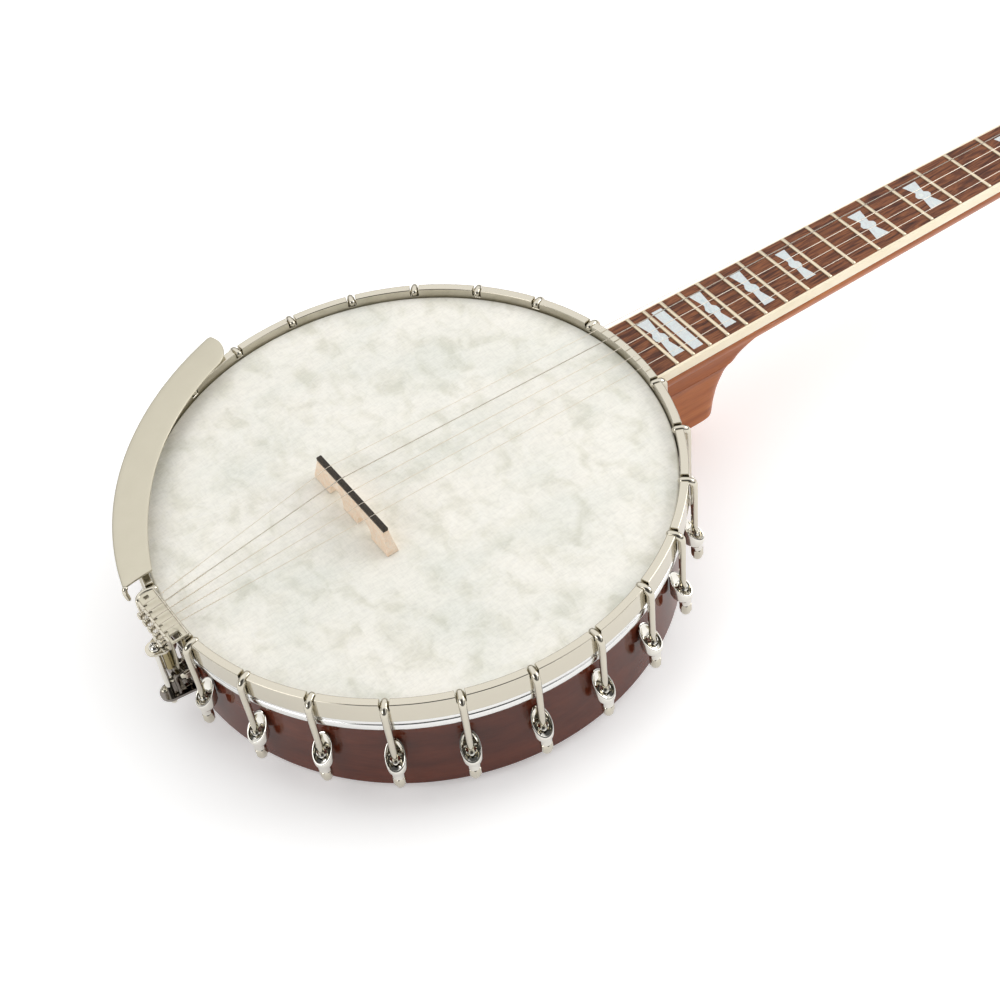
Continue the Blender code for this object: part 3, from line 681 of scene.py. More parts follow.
def shoe_form():
    """A hollow oval cup with a sloping mouth, narrowing to a neck over the nut."""
    back, wide, high, slope, dip = 140.2, 12.0, -28.6, 12.6, 0.8

    def below(drop):
        """The cup's sloping rim, high at the back by the wood, or a level under it."""
        def height(x):
            lean = (x - back) / wide
            return high - slope * lean - dip * math.sin(math.pi * min(max(lean, 0), 1)) - drop
        return height

    # middle, half width, half length, height
    outside = [(148.2, 2.9, 3.0, -49.4), (148.1, 3.2, 3.3, -46.6), (147.8, 3.6, 3.8, -45.4),
               (147.2, 4.6, 4.6, -44.4), (146.5, 5.6, 5.1, -43.2), (146.2, 6.0, 5.3, -41.9)]
    # the same, but with the depth under the rim
    mouth = [(146.2, 6.05, 5.3, 0.5), (146.2, 5.95, 5.2, 0.05), (146.2, 5.6, 4.85, -0.12),
             (146.2, 5.25, 4.5, 0.05), (146.2, 5.1, 4.4, 0.6), (146.3, 4.8, 4.1, 1.8),
             (146.5, 4.1, 3.5, 2.9), (146.7, 2.4, 2.2, 3.6)]
    rings = [oval(across, along, z, middle=middle) for middle, across, along, z in outside]
    rings += [oval(across, along, below(drop), middle=middle) for middle, across, along, drop in mouth]
    return loft(rings)


def make_brackets():
    """24 hooks, each with a closed nut, a shoe and the shoe's bolt and washer inside the rim."""
    bend_r, tip_r, collar_r, nut_r, nut_flats, bolt_flats = 3.4, 141.7, 146.9, 148.0, 6.0, 7.0
    bend = arc((HOOK_SHAFT_R - 0.2 - bend_r, HOOK_Z - bend_r), bend_r, 0, 90, 10)
    path = [(tip_r, 0, HOOK_Z)] + [(r, 0, z) for r, z in reversed(bend)]
    path += [(HOOK_SHAFT_R - 0.2, 0, -7.0), (147.4, 0, -20.0), (147.0, 0, -43.0)]
    sizes = [2.1] * 11 + [2.05, 2.0, 1.85, 1.75]
    hook = mesh_of(tube(path, sizes, 24), "hook", 60)
    collar = [(0, -36.4), (2.5, -36.4), (2.9, -36.9), (2.9, -39.6), (0, -39.6)]
    collar = mesh_of(moved(lathe(collar, 32), shift(collar_r, 0, 0)), "hook_collar")
    shoe = mesh_of(shoe_form(), "shoe", 50)
    nut = [(-49.5, 2.8), (-49.9, 3.3), (-54.9, 3.35), (-55.4, 2.9), (-56.8, 2.6), (-57.6, 1.8),
           (-57.9, 0.7)]
    nut = mesh_of(moved(prism(nut, nut_flats), shift(nut_r, 0, 0)), "hook_nut")
    inward = turn("Y", -90)
    bolt = moved(prism([(0.0, 3.5), (0.5, 4.1), (2.6, 4.1), (3.1, 3.3)], bolt_flats), inward)
    bolt = mesh_of(moved(bolt, shift(RIM_INNER_R - 1.4, 0, SHOE_BOLT_Z)), "shoe_bolt")
    washer = moved(lathe([(0, 0.9), (5.6, 0.9), (5.9, 0.6), (5.9, 0), (0, 0)], 32), inward)
    washer = mesh_of(moved(washer, shift(RIM_INNER_R - 0.5, 0, SHOE_BOLT_Z)), "shoe_washer")
    pieces = {"hook": (hook, "nickel"), "hook_collar": (collar, "chrome"),
              "shoe": (shoe, "chrome"), "hook_nut": (nut, "nickel"),
              "shoe_bolt": (bolt, "nickel"), "shoe_washer": (washer, "nickel")}
    for number, angle in enumerate(hook_angles, 1):
        place = POT @ turn("Z", angle)
        for name, (mesh, look) in pieces.items():
            show("%s_%02d" % (name, number), mesh, place, look, ["bracket_%02d" % number])


def make_coordinator_rod():
    """The rod across the pot, its flats and end nuts, and the cap nut outside the tail."""
    nodes = ["coordinator_rod"]
    lengthwise = POT @ shift(0, 0, ROD_Z) @ turn("Y", 90)
    end, radius, flats, cap_flats = 123.9, 4.7, 13.0, 10.4
    bar = lathe([(0, -end), (radius - 0.3, -end), (radius, -end + 0.4), (radius, end - 0.4),
                 (radius - 0.3, end), (0, end)], 48)
    show("coordinator_rod_bar", bar, lengthwise, "steel", nodes)
    for name, low, high in (("tail", -end - 0.2, -end + 7.0), ("heel", end - 7.0, end + 0.2)):
        nut = prism([(low, 6.6), (low + 0.6, 7.4), (high - 0.6, 7.4), (high, 6.6)], flats)
        show("coordinator_%s_nut" % name, nut, lengthwise, "steel", nodes)
    show("coordinator_stud", rod(3.0, -146, -125), lengthwise, "steel", nodes)
    cap = [(-142.7, 5.0), (-143.2, 5.7), (-146.6, 5.7), (-147.0, 4.9), (-148.4, 4.5), (-149.6, 3.2),
           (-150.2, 1.2)]
    show("coordinator_cap_nut", prism(cap, cap_flats), lengthwise, "nickel", nodes)


# ---------------------------------------------------------------- bridge


def grooved(low, high, half, base, top, grooves, depth, width, bow=0.0):
    """A bar along Y from low to high with a groove in its top at each y in grooves."""
    spots = {low, high}
    for y in grooves:
        spots.update(y + width * share for share in (-3, -1.6, -1, -0.6, -0.3, 0, 0.3, 0.6, 1, 1.6, 3))
    spots.update(low + (high - low) * k / 24 for k in range(25))
    rings = []
    middle, reach = (low + high) / 2, (high - low) / 2
    for y in sorted(spots):
        sink = sum(depth * math.exp(-((y - g) / width) ** 2) for g in grooves)
        level = top - sink - bow * ((y - middle) / reach) ** 2
        section = rounded([(-half, base), (half, base), (half, level), (-half, level)], 0.35, 3)
        rings.append([(x, y, z) for x, z in section])
    return loft(rings)


def make_bridge():
    """A three-footed maple bridge, thick below and thin above, with a dark slotted cap."""
    cap_base = BRIDGE_H - 1.6
    half = [(31.9, cap_base), (33.6, 8.5), (35.2, 3.6), (35.5, 2.4), (35.5, 0.3), (20.0, 0.3)]
    half += arc((13.5, 2.0), 6.5, 0, 180, 14)
    half += [(7.0, 0.3)]
    foot_half, thinning = 3.4, 0.60
    form = plate([mirrored(half)], -foot_half, foot_half)
    for vertex in form.verts:
        across, up, along = vertex.co
        vertex.co = (along * (1.0 - thinning * up / (BRIDGE_H * MM)), across, up)
    place = POT @ shift(BRIDGE_X, 0, 0)
    show("bridge_body", form, place, "maple", ["bridge"], edge=0.35)
    cap = grooved(-32.2, 31.8, 1.5, cap_base + 0.05, BRIDGE_H + 0.7, BRIDGE_STRING_Y, 0.45, 0.4)
    show("bridge_cap", cap, place, "ebony", ["bridge"])


# ---------------------------------------------------------------- tailpiece


def strip(path, thickness, bend=2.0):
    """A bent metal strip. path holds (x, z, half width); corners of (x, z) become arcs."""
    line = rounded([(x, z) for x, z, _ in path], bend, 6, closed=False)
    lengths = [0.0]
    for a, b in zip(path, path[1:]):
        lengths.append(lengths[-1] + math.dist(a[:2], b[:2]))
    run, total = [0.0], 0.0
    for a, b in zip(line, line[1:]):
        total += math.dist(a, b)
        run.append(total)
    rings = []
    for k, (x, z) in enumerate(line):
        spot = run[k] * lengths[-1] / total
        last = max(j for j in range(len(path) - 1) if lengths[j] <= spot + 1e-6)
        share = (spot - lengths[last]) / (lengths[last + 1] - lengths[last])
        half = path[last][2] + (path[last + 1][2] - path[last][2]) * min(share, 1.0)
        ahead = Vector(line[min(k + 1, len(line) - 1)]) - Vector(line[max(k - 1, 0)])
        side = Vector((-ahead.y, ahead.x)).normalized() * thickness / 2
        rings.append([(x - side.x, -half, z - side.y), (x - side.x, half, z - side.y),
                      (x + side.x, half, z + side.y), (x + side.x, -half, z + side.y)])
    return loft(rings)


def round_end(x, z, half, steps=8):
    """The last stations of a strip that ends in a half circle, towards -x."""
    angles = [math.radians(88.0 * k / steps) for k in range(steps + 1)]
    return [(x - half * math.sin(a), z, half * math.cos(a)) for a in angles]


def screw_head(radius, height):
    """A domed screw head with a cross recess, standing on z = 0."""
    dome = [(0, height)] + [(radius * math.sin(math.radians(a)), height * math.cos(math.radians(a)))
                            for a in (15, 30, 45, 60, 75, 88)] + [(radius, 0), (0, 0)]
    slots = [block((-radius * 0.6, -0.35, height * 0.5), (radius * 0.6, 0.35, height + 1)),
             block((-0.35, -radius * 0.6, height * 0.5), (0.35, radius * 0.6, height + 1))]
    return carved(lathe(dome, 40), *slots)


def make_tailpiece():
    """A folded plate with a rolled front, string posts behind, and a screw down to its hanger."""
    nodes = ["tailpiece"]
    back, wall_x = -150.6, -151.2
    rear = [(back, -18.6)]
    for y in sorted(TAIL_STRING_Y):
        slot = [(back, y - 0.5), (-149.0, y - 0.5), (-148.7, y), (-149.0, y + 0.5), (back, y + 0.5)]
        rear += slot
    outline = rear + [(back, 16.6), (-149.2, 18.4), (-141.2, 18.6), (-141.2, -18.6)]
    holes = [[(-148.2, 14.2), (-145.4, 14.2), (-145.4, 16.4), (-148.2, 16.4)],
             [(-149.4, -17.6), (-144.2, -17.6), (-144.2, -13.4), (-149.4, -13.4)]]
    show("tailpiece_plate", plate([outline] + holes, 5.85, 7.35), POT, "satin", nodes, edge=0.3)
    roll = tube([(-141.3, -18.2, 7.1), (-141.3, 18.2, 7.1)], 0.7, 24)
    show("tailpiece_roll", roll, POT, "nickel", nodes, crisp=50)
    curl = flowing([(-141.2, 18.6, 6.6), (-145.6, 19.4, 6.9), (-149.2, 18.9, 6.7), (-151.2, 16.8, 5.6),
                    (-151.6, 15.0, 1.0), (-151.6, 13.6, -3.0)], 6)
    show("tailpiece_curl", tube(curl, 1.25, 16), POT, "nickel", nodes, crisp=50)
    wall = [(wall_x, 6.6, 16.0), (wall_x, -1.0, 15.5), (wall_x, -5.0, 9.0), (wall_x, -12.2, 6.6)]
    wall += round_end(-155.4, -12.2, 4.9)
    show("tailpiece_wall", strip(wall, 1.5), POT, "nickel", nodes, edge=0.25)
    post = [(0, 0), (1.2, 0), (1.2, 2.2), (1.9, 2.5), (2.15, 3.0), (2.1, 3.6), (1.6, 4.1),
            (0.8, 4.3), (0, 4.3)]
    post = mesh_of(lathe(post, 24), "tailpiece_post")
    for number, y in enumerate(TAIL_STRING_Y, 1):
        place = POT @ shift(-151.0, y, 2.4) @ turn("Y", -90)
        show("tailpiece_post_%d" % number, post, place, "nickel", nodes)
    strap = [(-147.9, 2.0, 7.5), (-147.9, -16.0, 7.5), (-148.3, -24.0, 6.5), (-148.3, -30.0, 5.0)]
    show("tailpiece_strap", strip(strap, 0.9), POT, "satin", nodes, edge=0.2)
    sleeve = lathe([(0, -15.0), (2.1, -15.0), (2.4, -15.4), (2.4, -29.2), (2.0, -29.6), (0, -29.6)], 32)
    show("tailpiece_sleeve", sleeve, POT @ shift(-151.0, -1.0, 0), "sleeve", nodes)
    make_tail_hanger()


def make_tail_hanger():
    """The bent hanger held by the coordinator rod's cap nut, and the long adjusting screw."""
    hanger_node, screw_node = ["tailpiece_hanger"], ["tailpiece_screw"]
    inside, floor_z, screw_x, screw_top, nut_flats = -141.25, -49.1, -155.2, -11.4, 5.8
    hanger = [(inside, -28.8, 7.6), (inside, floor_z, 7.6)] + round_end(screw_x, floor_z, 5.8)
    hole = moved(moved(rod(3.4, -20, 20), turn("Y", 90)), shift(-141, 0, ROD_Z))
    form = carved(strip(hanger, 1.8), hole)
    show("hanger_bracket", form, POT, "dark", hanger_node, edge=0.3)
    guard = [(-144.6, -33.0, 5.6), (-150.6, -33.6, 5.6), (-151.8, -36.0, 5.6), (-151.8, -48.2, 5.6)]
    show("hanger_guard", strip(guard, 1.4, 1.6), POT, "dark", hanger_node, edge=0.3)
    place = POT @ shift(-157.4, 2.6, -48.2)
    show("hanger_screw", screw_head(2.1, 1.4), place, "nickel", hanger_node)
    place = POT @ shift(-152.5, 1.0, -41.5) @ turn("Y", -90)
    show("hanger_pivot", screw_head(2.1, 1.5), place, "nickel", hanger_node)
    place = POT @ shift(screw_x, 0, 0)
    shank = rod(1.7, screw_top, -57.0, 32)
    show("adjusting_screw_shank", shank, place, "chrome", screw_node)
    head = screw_head(3.1, 2.6)
    show("adjusting_screw_head", head, place @ shift(0, 0, screw_top), "chrome", screw_node)
    nut = [(-50.2, 2.9), (-50.6, 3.3), (-53.6, 3.3), (-54.0, 2.9), (-55.4, 2.4), (-56.8, 1.2)]
    show("adjusting_screw_nut", prism(nut, nut_flats), place, "nickel", screw_node)


# ---------------------------------------------------------------- armrest


def armrest_edge(angle):
    """Radii and rise of the plate at an angle in degrees: its arc is flatter than the hoop's."""
    reach = angle - ARM_MIDDLE
    inner = 134.5 + (0.0025 if reach < 0 else 0.0064) * reach * reach
    outer = 153.9 + (0.0027 if reach < 0 else 0.003) * reach * reach
    rise = 0.0014 * min(reach, 0.0) ** 2
    along = math.radians(angle - ARM_START) * 145.0
    for radius, side in ((12.0, 1), (2.2, -1)):
        left = max(radius - along, 0.0)
        drawn_in = radius - math.sqrt(max(radius * radius - left * left, 0.0))
        if side > 0:
            inner += drawn_in
        else:
            outer -= drawn_in
    return inner, outer, rise


def make_armrest():
    """A thin satin plate over the hoop: flat across, with a big round corner at its neck end."""
    rings = []
    top, crown, thickness, stations = 9.1, 0.9, 1.15, 120
    for k in range(stations + 1):
        share = (k / stations) ** 1.7
        angle = ARM_START + (ARM_END - ARM_START) * share
        inner, outer, rise = armrest_edge(angle)
        upper, lower = [], []
        for across in (0.0, 0.012, 0.04, 0.12, 0.35, 0.6, 0.85, 0.95, 0.985, 1.0):
            height = top + rise - crown * across ** 2
            soft = 0.45 * (max(0.0, 0.04 - across) / 0.04) ** 2
            soft += 0.5 * (max(0.0, across - 0.95) / 0.05) ** 2
            swung = angle + ARM_SLANT * share * across
            radius = inner + (outer - inner) * across
            upper.append(polar(radius, swung, height - soft))
            lower.append(polar(radius, swung, height - thickness))
        rings.append(upper + lower[::-1])
    show("armrest_plate", loft(rings), POT, "satin", ["armrest"], even=True)
    leg_angle, lug_angle, lean = 170.2, 101.6, -0.35
    leg = [(155.0, 8.0), (155.7, 7.4), (155.9, 5.5), (155.6, 3.0), (155.4, 1.6)]
    leg = [Vector(polar(r, leg_angle, z)) + Vector((0, lean * k, 0)) for k, (r, z) in enumerate(leg)]
    leg = tube(leg, [1.5, 1.5, 1.45, 1.4, 1.3], 16)
    show("armrest_leg", leg, POT, "nickel", ["armrest"], crisp=50)
    lug = [polar(r, lug_angle, z) for r, z in ((150.5, 8.6), (149.6, 5.0), (148.8, 1.0))]
    show("armrest_lug", tube(lug, 1.3, 16), POT, "nickel", ["armrest"], crisp=50)


def make_armrest_bracket():
    """A bent rod under the armrest with two legs that hook under the flesh hoop."""
    legs, past = (120.56, 149.6), 1.7
    rod_r, rod_z, thick = 151.9, 4.0, 1.5
    span = [legs[0] - past + k * (legs[1] - legs[0] + 2 * past) / 16 for k in range(17)]
    path = [polar(rod_r, a, rod_z) for a in span]
    show("armrest_rod", tube(path, thick, 16), POT, "nickel", ["armrest_bracket"], crisp=50)
    leg = flowing([(rod_r, 0, rod_z), (148.3, 0, 0.0), (147.5, 0, -6.0), (147.4, 0, -15.5),
                   (146.2, 0, -18.2), (142.6, 0, -18.5)], 5)
    form = mesh_of(tube(leg, thick, 16), "armrest_leg_rod", 50)
    for number, angle in enumerate(legs, 1):
        show("armrest_leg_rod_%d" % number, form, POT @ turn("Z", angle), "nickel", ["armrest_bracket"])


# ---------------------------------------------------------------- neck


def fret_x(number):
    """A fret's distance, by twelfth roots of two from the nut."""
    return NUT_X - SCALE * (1.0 - 2.0 ** (-number / 12.0))


def treble_half(x):
    """Half width of the full fretboard at a distance x from the head's centre."""
    return BOARD_HALF_AT_NUT + BOARD_TAPER * (NUT_X - x)


def bass_half(x):
    """Width of the short-string side, which steps in past the fifth fret."""
    narrow = NARROW_BASS_AT_NUT + BOARD_TAPER * (NUT_X - x)
    share = min(max((x - STEP_X) / (STEP_END_X - STEP_X), 0.0), 1.0)
    ease = share * share * (3 - 2 * share)
    return treble_half(x) * (1 - ease) + narrow * ease


def steps_along(start, end, spacing):
    """Even stations from start to end, about spacing apart."""
    count = max(1, round((end - start) / spacing))
    return [start + (end - start) * k / count for k in range(count + 1)]


def pot_room():
    """Forms for the space that the hoops and the rim take, in the neck's frame."""
    to_neck = NECK.inverted() @ POT
    above, below = 60, -95
    hoops = rod(HOOP_R + 0.6, above, FLESH_BOTTOM - 0.5, 256)
    rim = rod(RIM_R + 0.3, above, below, 256)
    return moved(hoops, to_neck), moved(rim, to_neck)


def between(table, spot):
    """Values of a table of (spot, value, ...) rows, eased between its rows."""
    for low, high in zip(table, table[1:]):
        if spot <= high[0] or high is table[-1]:
            share = min(max((spot - low[0]) / (high[0] - low[0]), 0.0), 1.0)
            return [a + (b - a) * share for a, b in zip(low[1:], high[1:])]
    return list(table[-1][1:])


def eased(rows, steps):
    """A smooth run of rows of four numbers through the rows given."""
    first = flowing([row[:3] for row in rows], steps)
    last = flowing([(row[3], 0, 0) for row in rows], steps)
    return [(*a, b.x) for a, b in zip(first, last)]


def shaft_ring(x, depth, fullness, top=WOOD_TOP, inset=0.0):
    """A section of the neck's shaft: flat on top, D-shaped below a short upright edge."""
    ring = []
    steps, upright_edge = 40, 0.6
    for k in range(steps + 1):
        angle = math.pi * k / steps
        side = math.cos(angle)
        half = (bass_half(x) if side >= 0 else treble_half(x)) - inset
        y = half * math.copysign(abs(side) ** fullness, side)
        drop = upright_edge + (depth - upright_edge) * abs(math.sin(angle))
        ring.append((x, y, top - drop))
    return [(x, ring[0][1], top)] + ring + [(x, ring[-1][1], top)]


def heel_ring(z, toe, half, full):
    """The heel's level outline at height z: straight sides and a nose, squarer as full drops."""
    nose, steps = 14.0, 24
    ring = [(NECK_START, half), (toe - nose, half)]
    for k in range(1, steps):
        angle = math.pi / 2 - math.pi * k / steps
        bulge = math.copysign(abs(math.sin(angle)) ** full, math.sin(angle))
        ring.append((toe - nose + nose * abs(math.cos(angle)) ** full, half * bulge))
    ring += [(toe - nose, -half), (NECK_START, -half)]
    return [(x, y, z) for x, y in ring]


def make_neck():
    """The neck's shaft and its heel with a moulded step, cut to the pot, and the peghead."""
    # distance, depth, fullness
    shape = ((NECK_START, 16.5, 0.9), (215, 16.5, 0.95), (330, 16.2, 1.0), (480, 15.2, 1.0),
             (NECK_END, 14.6, 1.0))
    rings = [shaft_ring(x, *between(shape, x)) for x in steps_along(NECK_START, NECK_END, 4.0)]
    reach, drop, root_depth, root_fullness = 24, 7.0, 14.8, 0.88
    for share in (0.35, 0.7, 1.0):
        rings.append(shaft_ring(NECK_END + reach * share, root_depth, root_fullness,
                                WOOD_TOP - drop * share, 1.0 + 3.0 * share))
    show("neck_shaft", carved(loft(rings), *pot_room()), NECK, "neck", ["neck"], crisp=50)
    # height, toe, half width, fullness; the groove between them is the step
    upper = [(-7.0, 247.0, 23.4, 1.0), (-10.0, 235.0, 22.9, 0.95), (-13.5, 223.5, 22.3, 0.85),
             (-18.0, 213.5, 21.8, 0.75), (-22.6, 206.6, 21.6, 0.62)]
    lower = [(-23.6, 205.2, 21.0, 0.6), (-27.0, 201.6, 20.3, 0.58), (-31.0, 199.2, 19.8, 0.56),
             (-40.0, 195.8, 18.8, 0.55), (-51.0, 194.0, 17.7, 0.55), (-60.0, 193.4, 16.9, 0.55),
             (-62.0, 193.1, 16.7, 0.55)]
    groove = [(-22.9, 205.3, 20.4, 0.62), (-23.3, 204.9, 20.4, 0.62)]
    foot = [(-63.0, 192.5, 16.2, 0.57), (-63.5, 191.2, 15.2, 0.6)]
    levels = eased(upper, 5) + groove + eased(lower, 5) + foot
    heel = carved(loft([heel_ring(*level) for level in levels]), *pot_room())
    show("neck_heel", heel, NECK, "neck", ["neck"], crisp=40)
    make_peghead()


def peghead_edge():
    """The peghead's outline as a smooth closed curve."""
    half = [(-2.0, 15.6), (8.0, 17.0), (20.0, 23.0), (33.0, 30.6), (50.0, 33.2), (80.0, 33.0),
            (110.0, 33.5), (138.0, 35.6), (153.0, 36.4)]
    shoulder = [(158.0, 33.5), (163.5, 28.0), (167.0, 20.0), (171.5, 12.0), (175.2, 5.0), (176.0, 0)]
    return both_sides(flat_curve(half, 6) + flat_curve(shoulder, 6))


def both_sides(half):
    """An outline from its +y side, which ends on y = 0."""
    return half + [(x, -y) for x, y in reversed(half[:-1])]


def make_peghead():
    """The slab and its dark face, bored for the tuners, and the truss rod's cover."""
    nodes = ["neck"]
    bore_r, face_t, cover_top = 4.7, 1.25, 1.6
    edge = peghead_edge()
    spots = [(s, y) for s in TUNER_S for y in (TUNER_Y, -TUNER_Y)]
    bores = [moved(rod(bore_r, 30, -30, 32), shift(s, y, 0)) for s, y in spots]
    slab = carved(plate([edge], -PEG_T, -face_t - 0.05), *bores)
    show("peghead_slab", slab, PEG, "neck", nodes, edge=1.2)
    rings = [arc(spot, bore_r, 0, 348.75, 31) for spot in spots]
    trimmed = [p for p in edge if p[0] > 4.5]
    show("peghead_face", plate([trimmed] + rings, -face_t, 0.0), PEG, "veneer", nodes, edge=0.3)
    cover = [(9.0, 7.0), (12.0, 8.6), (26.0, 8.2), (36.0, 4.0), (42.0, 2.0), (43.5, 0.0)]
    cover = both_sides(flat_curve(cover, 5))
    show("truss_rod_cover", plate([cover], 0.05, cover_top), PEG, "veneer", nodes, edge=0.4)
    for number, (s, y) in enumerate(((12.5, 4.8), (12.5, -4.8), (37.5, 0.0)), 1):
        place = PEG @ shift(s, y, cover_top)
        show("cover_screw_%d" % number, screw_head(1.3, 0.7), place, "nickel", nodes)


def make_fretboard():
    """The board between its cream bindings, with frets, pearl inlays, nut and pip."""
    hoops, _ = pot_room()
    spots = steps_along(NECK_START, STEP_X, 20)
    spots += steps_along(STEP_X + 1.5, STEP_END_X, 1.5) + [580.0, NUT_X]
    left = [(x, bass_half(x) - BASS_BINDING) for x in spots]
    right = [(x, -treble_half(x) + TREBLE_BINDING) for x in spots]
    board = carved(plate([left + right[::-1]], -BOARD_T, 0.0), hoops)
    show("fretboard_core", board, NECK, "board", ["fretboard"], edge=0.15)
    sides = (("bass", 1, bass_half, BASS_BINDING), ("treble", -1, treble_half, TREBLE_BINDING))
    for name, side, half, wide in sides:
        rings = []
        for x in spots:
            outer, inner = half(x), half(x) - wide + 0.02
            section = [(inner, -BOARD_T), (outer, -BOARD_T, 0.1), (outer, 0.02, 0.5), (inner, 0.02)]
            section = rounded(section, 0.08, 4)
            rings.append([(x, side * y, z) for y, z in section])
        hoops, _ = pot_room()
        show("binding_%s" % name, carved(loft(rings), hoops), NECK, "binding", ["fretboard"])
    make_frets()
    make_inlays()
    gap, nut_top = 0.3, 2.75
    nut = grooved(-treble_half(NUT_X) + gap, bass_half(NUT_X) - gap, NUT_T / 2, -BOARD_T, nut_top,
                  NUT_STRING_Y[1:], depth=0.5, width=0.45, bow=0.5)
    show("nut_block", nut, NECK @ shift(NUT_X + gap + NUT_T / 2, 0, 0), "bone", ["nut"])
    pip = carved(lathe([(0, 3.1), (0.8, 3.0), (1.2, 2.6), (1.25, 0.02), (0, 0.02)], 24),
                 block((-3, -0.2, 2.55), (3, 0.2, 5)))
    show("pip_peg", pip, NECK @ shift(PIP_X, NUT_STRING_Y[0], 0), "bone", ["fifth_string_pip"])


def make_frets():
    """Domed fret wire between the bindings, its ends filed to a slope."""
    half, gap, tang, filed = 1.15, 0.1, -0.5, ((0.0, 0.12), (0.5, 0.8), (1.0, 1.0))
    for number in range(1, FRETS + 1):
        x = fret_x(number)
        low, high = -treble_half(x) + TREBLE_BINDING + gap, bass_half(x) - BASS_BINDING - gap
        stations = [(low + inset, height) for inset, height in filed]
        stations += [(high - inset, height) for inset, height in reversed(filed)]
        rings = []
        for y, height in stations:
            crown = [(half * math.cos(math.radians(a)), height * math.sin(math.radians(a)) ** 0.6)
                     for a in range(0, 181, 20)]
            crown = [(dx, max(z, 0.02)) for dx, z in crown] + [(-half, tang), (half, tang)]
            rings.append([(x + dx, y, z) for dx, z in crown])
        show("fret_%02d" % number, loft(rings), NECK, "fret", ["fretboard"], crisp=60)


def make_inlays():
    """Pearl bow ties at the marker spaces, and one plain pearl block near the pot."""
    low, high, block_half, block_reach = -0.9, 0.05, 3.3, 18.7
    half = [(-1.0, 1.0), (-0.48, 0.31), (-0.95, 0.11), (-0.93, -0.07), (-0.5, -0.2), (-1.0, -1.0)]
    tie = half + [(-x, -y) for x, y in half]
    # half width and half height of each bow tie, by its space
    sizes = {3: (5.4, 11.6), 5: (5.4, 11.8), 7: (5.4, 12.0), 10: (4.9, 12.3), 12: (4.8, 12.6),
             15: (3.5, 13.6), 17: (3.7, 15.4), 19: (3.8, 16.1), 22: (4.0, 16.2)}
    for space, (wide, tall) in sizes.items():
        middle = (fret_x(space) + fret_x(space - 1)) / 2
        outline = [(middle + x * wide, y * tall) for x, y in tie]
        show("inlay_%02d" % space, plate([outline], low, high), NECK, "pearl", ["fretboard"])
    middle = (fret_x(21) + fret_x(20)) / 2 + 0.2
    corners = ((-1, -1), (1, -1), (1, 1), (-1, 1))
    outline = [(middle + x * block_half, y * block_reach) for x, y in corners]
    show("inlay_block", plate([outline], low, high), NECK, "pearl", ["fretboard"])


# ---------------------------------------------------------------- tuners


def button_form():
    """A smooth oval button: wide and flat, with a slimmer root."""
    # height, half width, half depth
    stations = [(-27.9, 3.2, 3.1), (-28.6, 3.9, 3.4), (-29.6, 5.4, 3.7), (-31.2, 7.7, 4.2),
                (-33.4, 9.4, 4.7), (-36.0, 10.2, 5.0), (-38.6, 10.3, 5.1), (-41.0, 9.5, 4.8),
                (-43.2, 7.7, 4.1), (-44.8, 5.3, 3.1), (-45.6, 3.2, 2.0), (BUTTON_TIP, 1.2, 0.8)]
    return loft([oval(across, deep, z) for z, across, deep in stations])


def knurled(radius, low, high, teeth=36):
    """A short wheel with fine teeth round it."""
    rings = []
    corner, shrink, depth, points = 0.4, 0.94, 0.22, 4
    for z, size in ((low, shrink), (low + corner, 1.0), (high - corner, 1.0), (high, shrink)):
        ring = []
        for k in range(teeth * points):
            reach = radius * size - (depth if k % points < points / 2 else 0.0)
            ring.append(polar(reach, 360 * k / (teeth * points), z))
        rings.append(ring)
    return loft(rings)


def make_button(name, place):
    """A tuner's button: its shaft, the grip and the screw in the grip's end."""
    nodes, body = [name + "_button"], name + "_button"
    shaft = lathe([(0, -22.5), (2.4, -22.5), (2.4, -27.2), (3.1, -27.6), (3.1, -28.4), (0, -28.4)], 32)
    show(name + "_button_shaft", shaft, place, "nickel", nodes, body)
    show(name + "_button_grip", button_form(), place, "button", nodes, body, crisp=60)
    tip = place @ shift(0, 0, BUTTON_TIP + 0.9) @ turn("X", 180)
    show(name + "_button_screw", screw_head(2.4, 1.0), tip, "nickel", nodes, body)


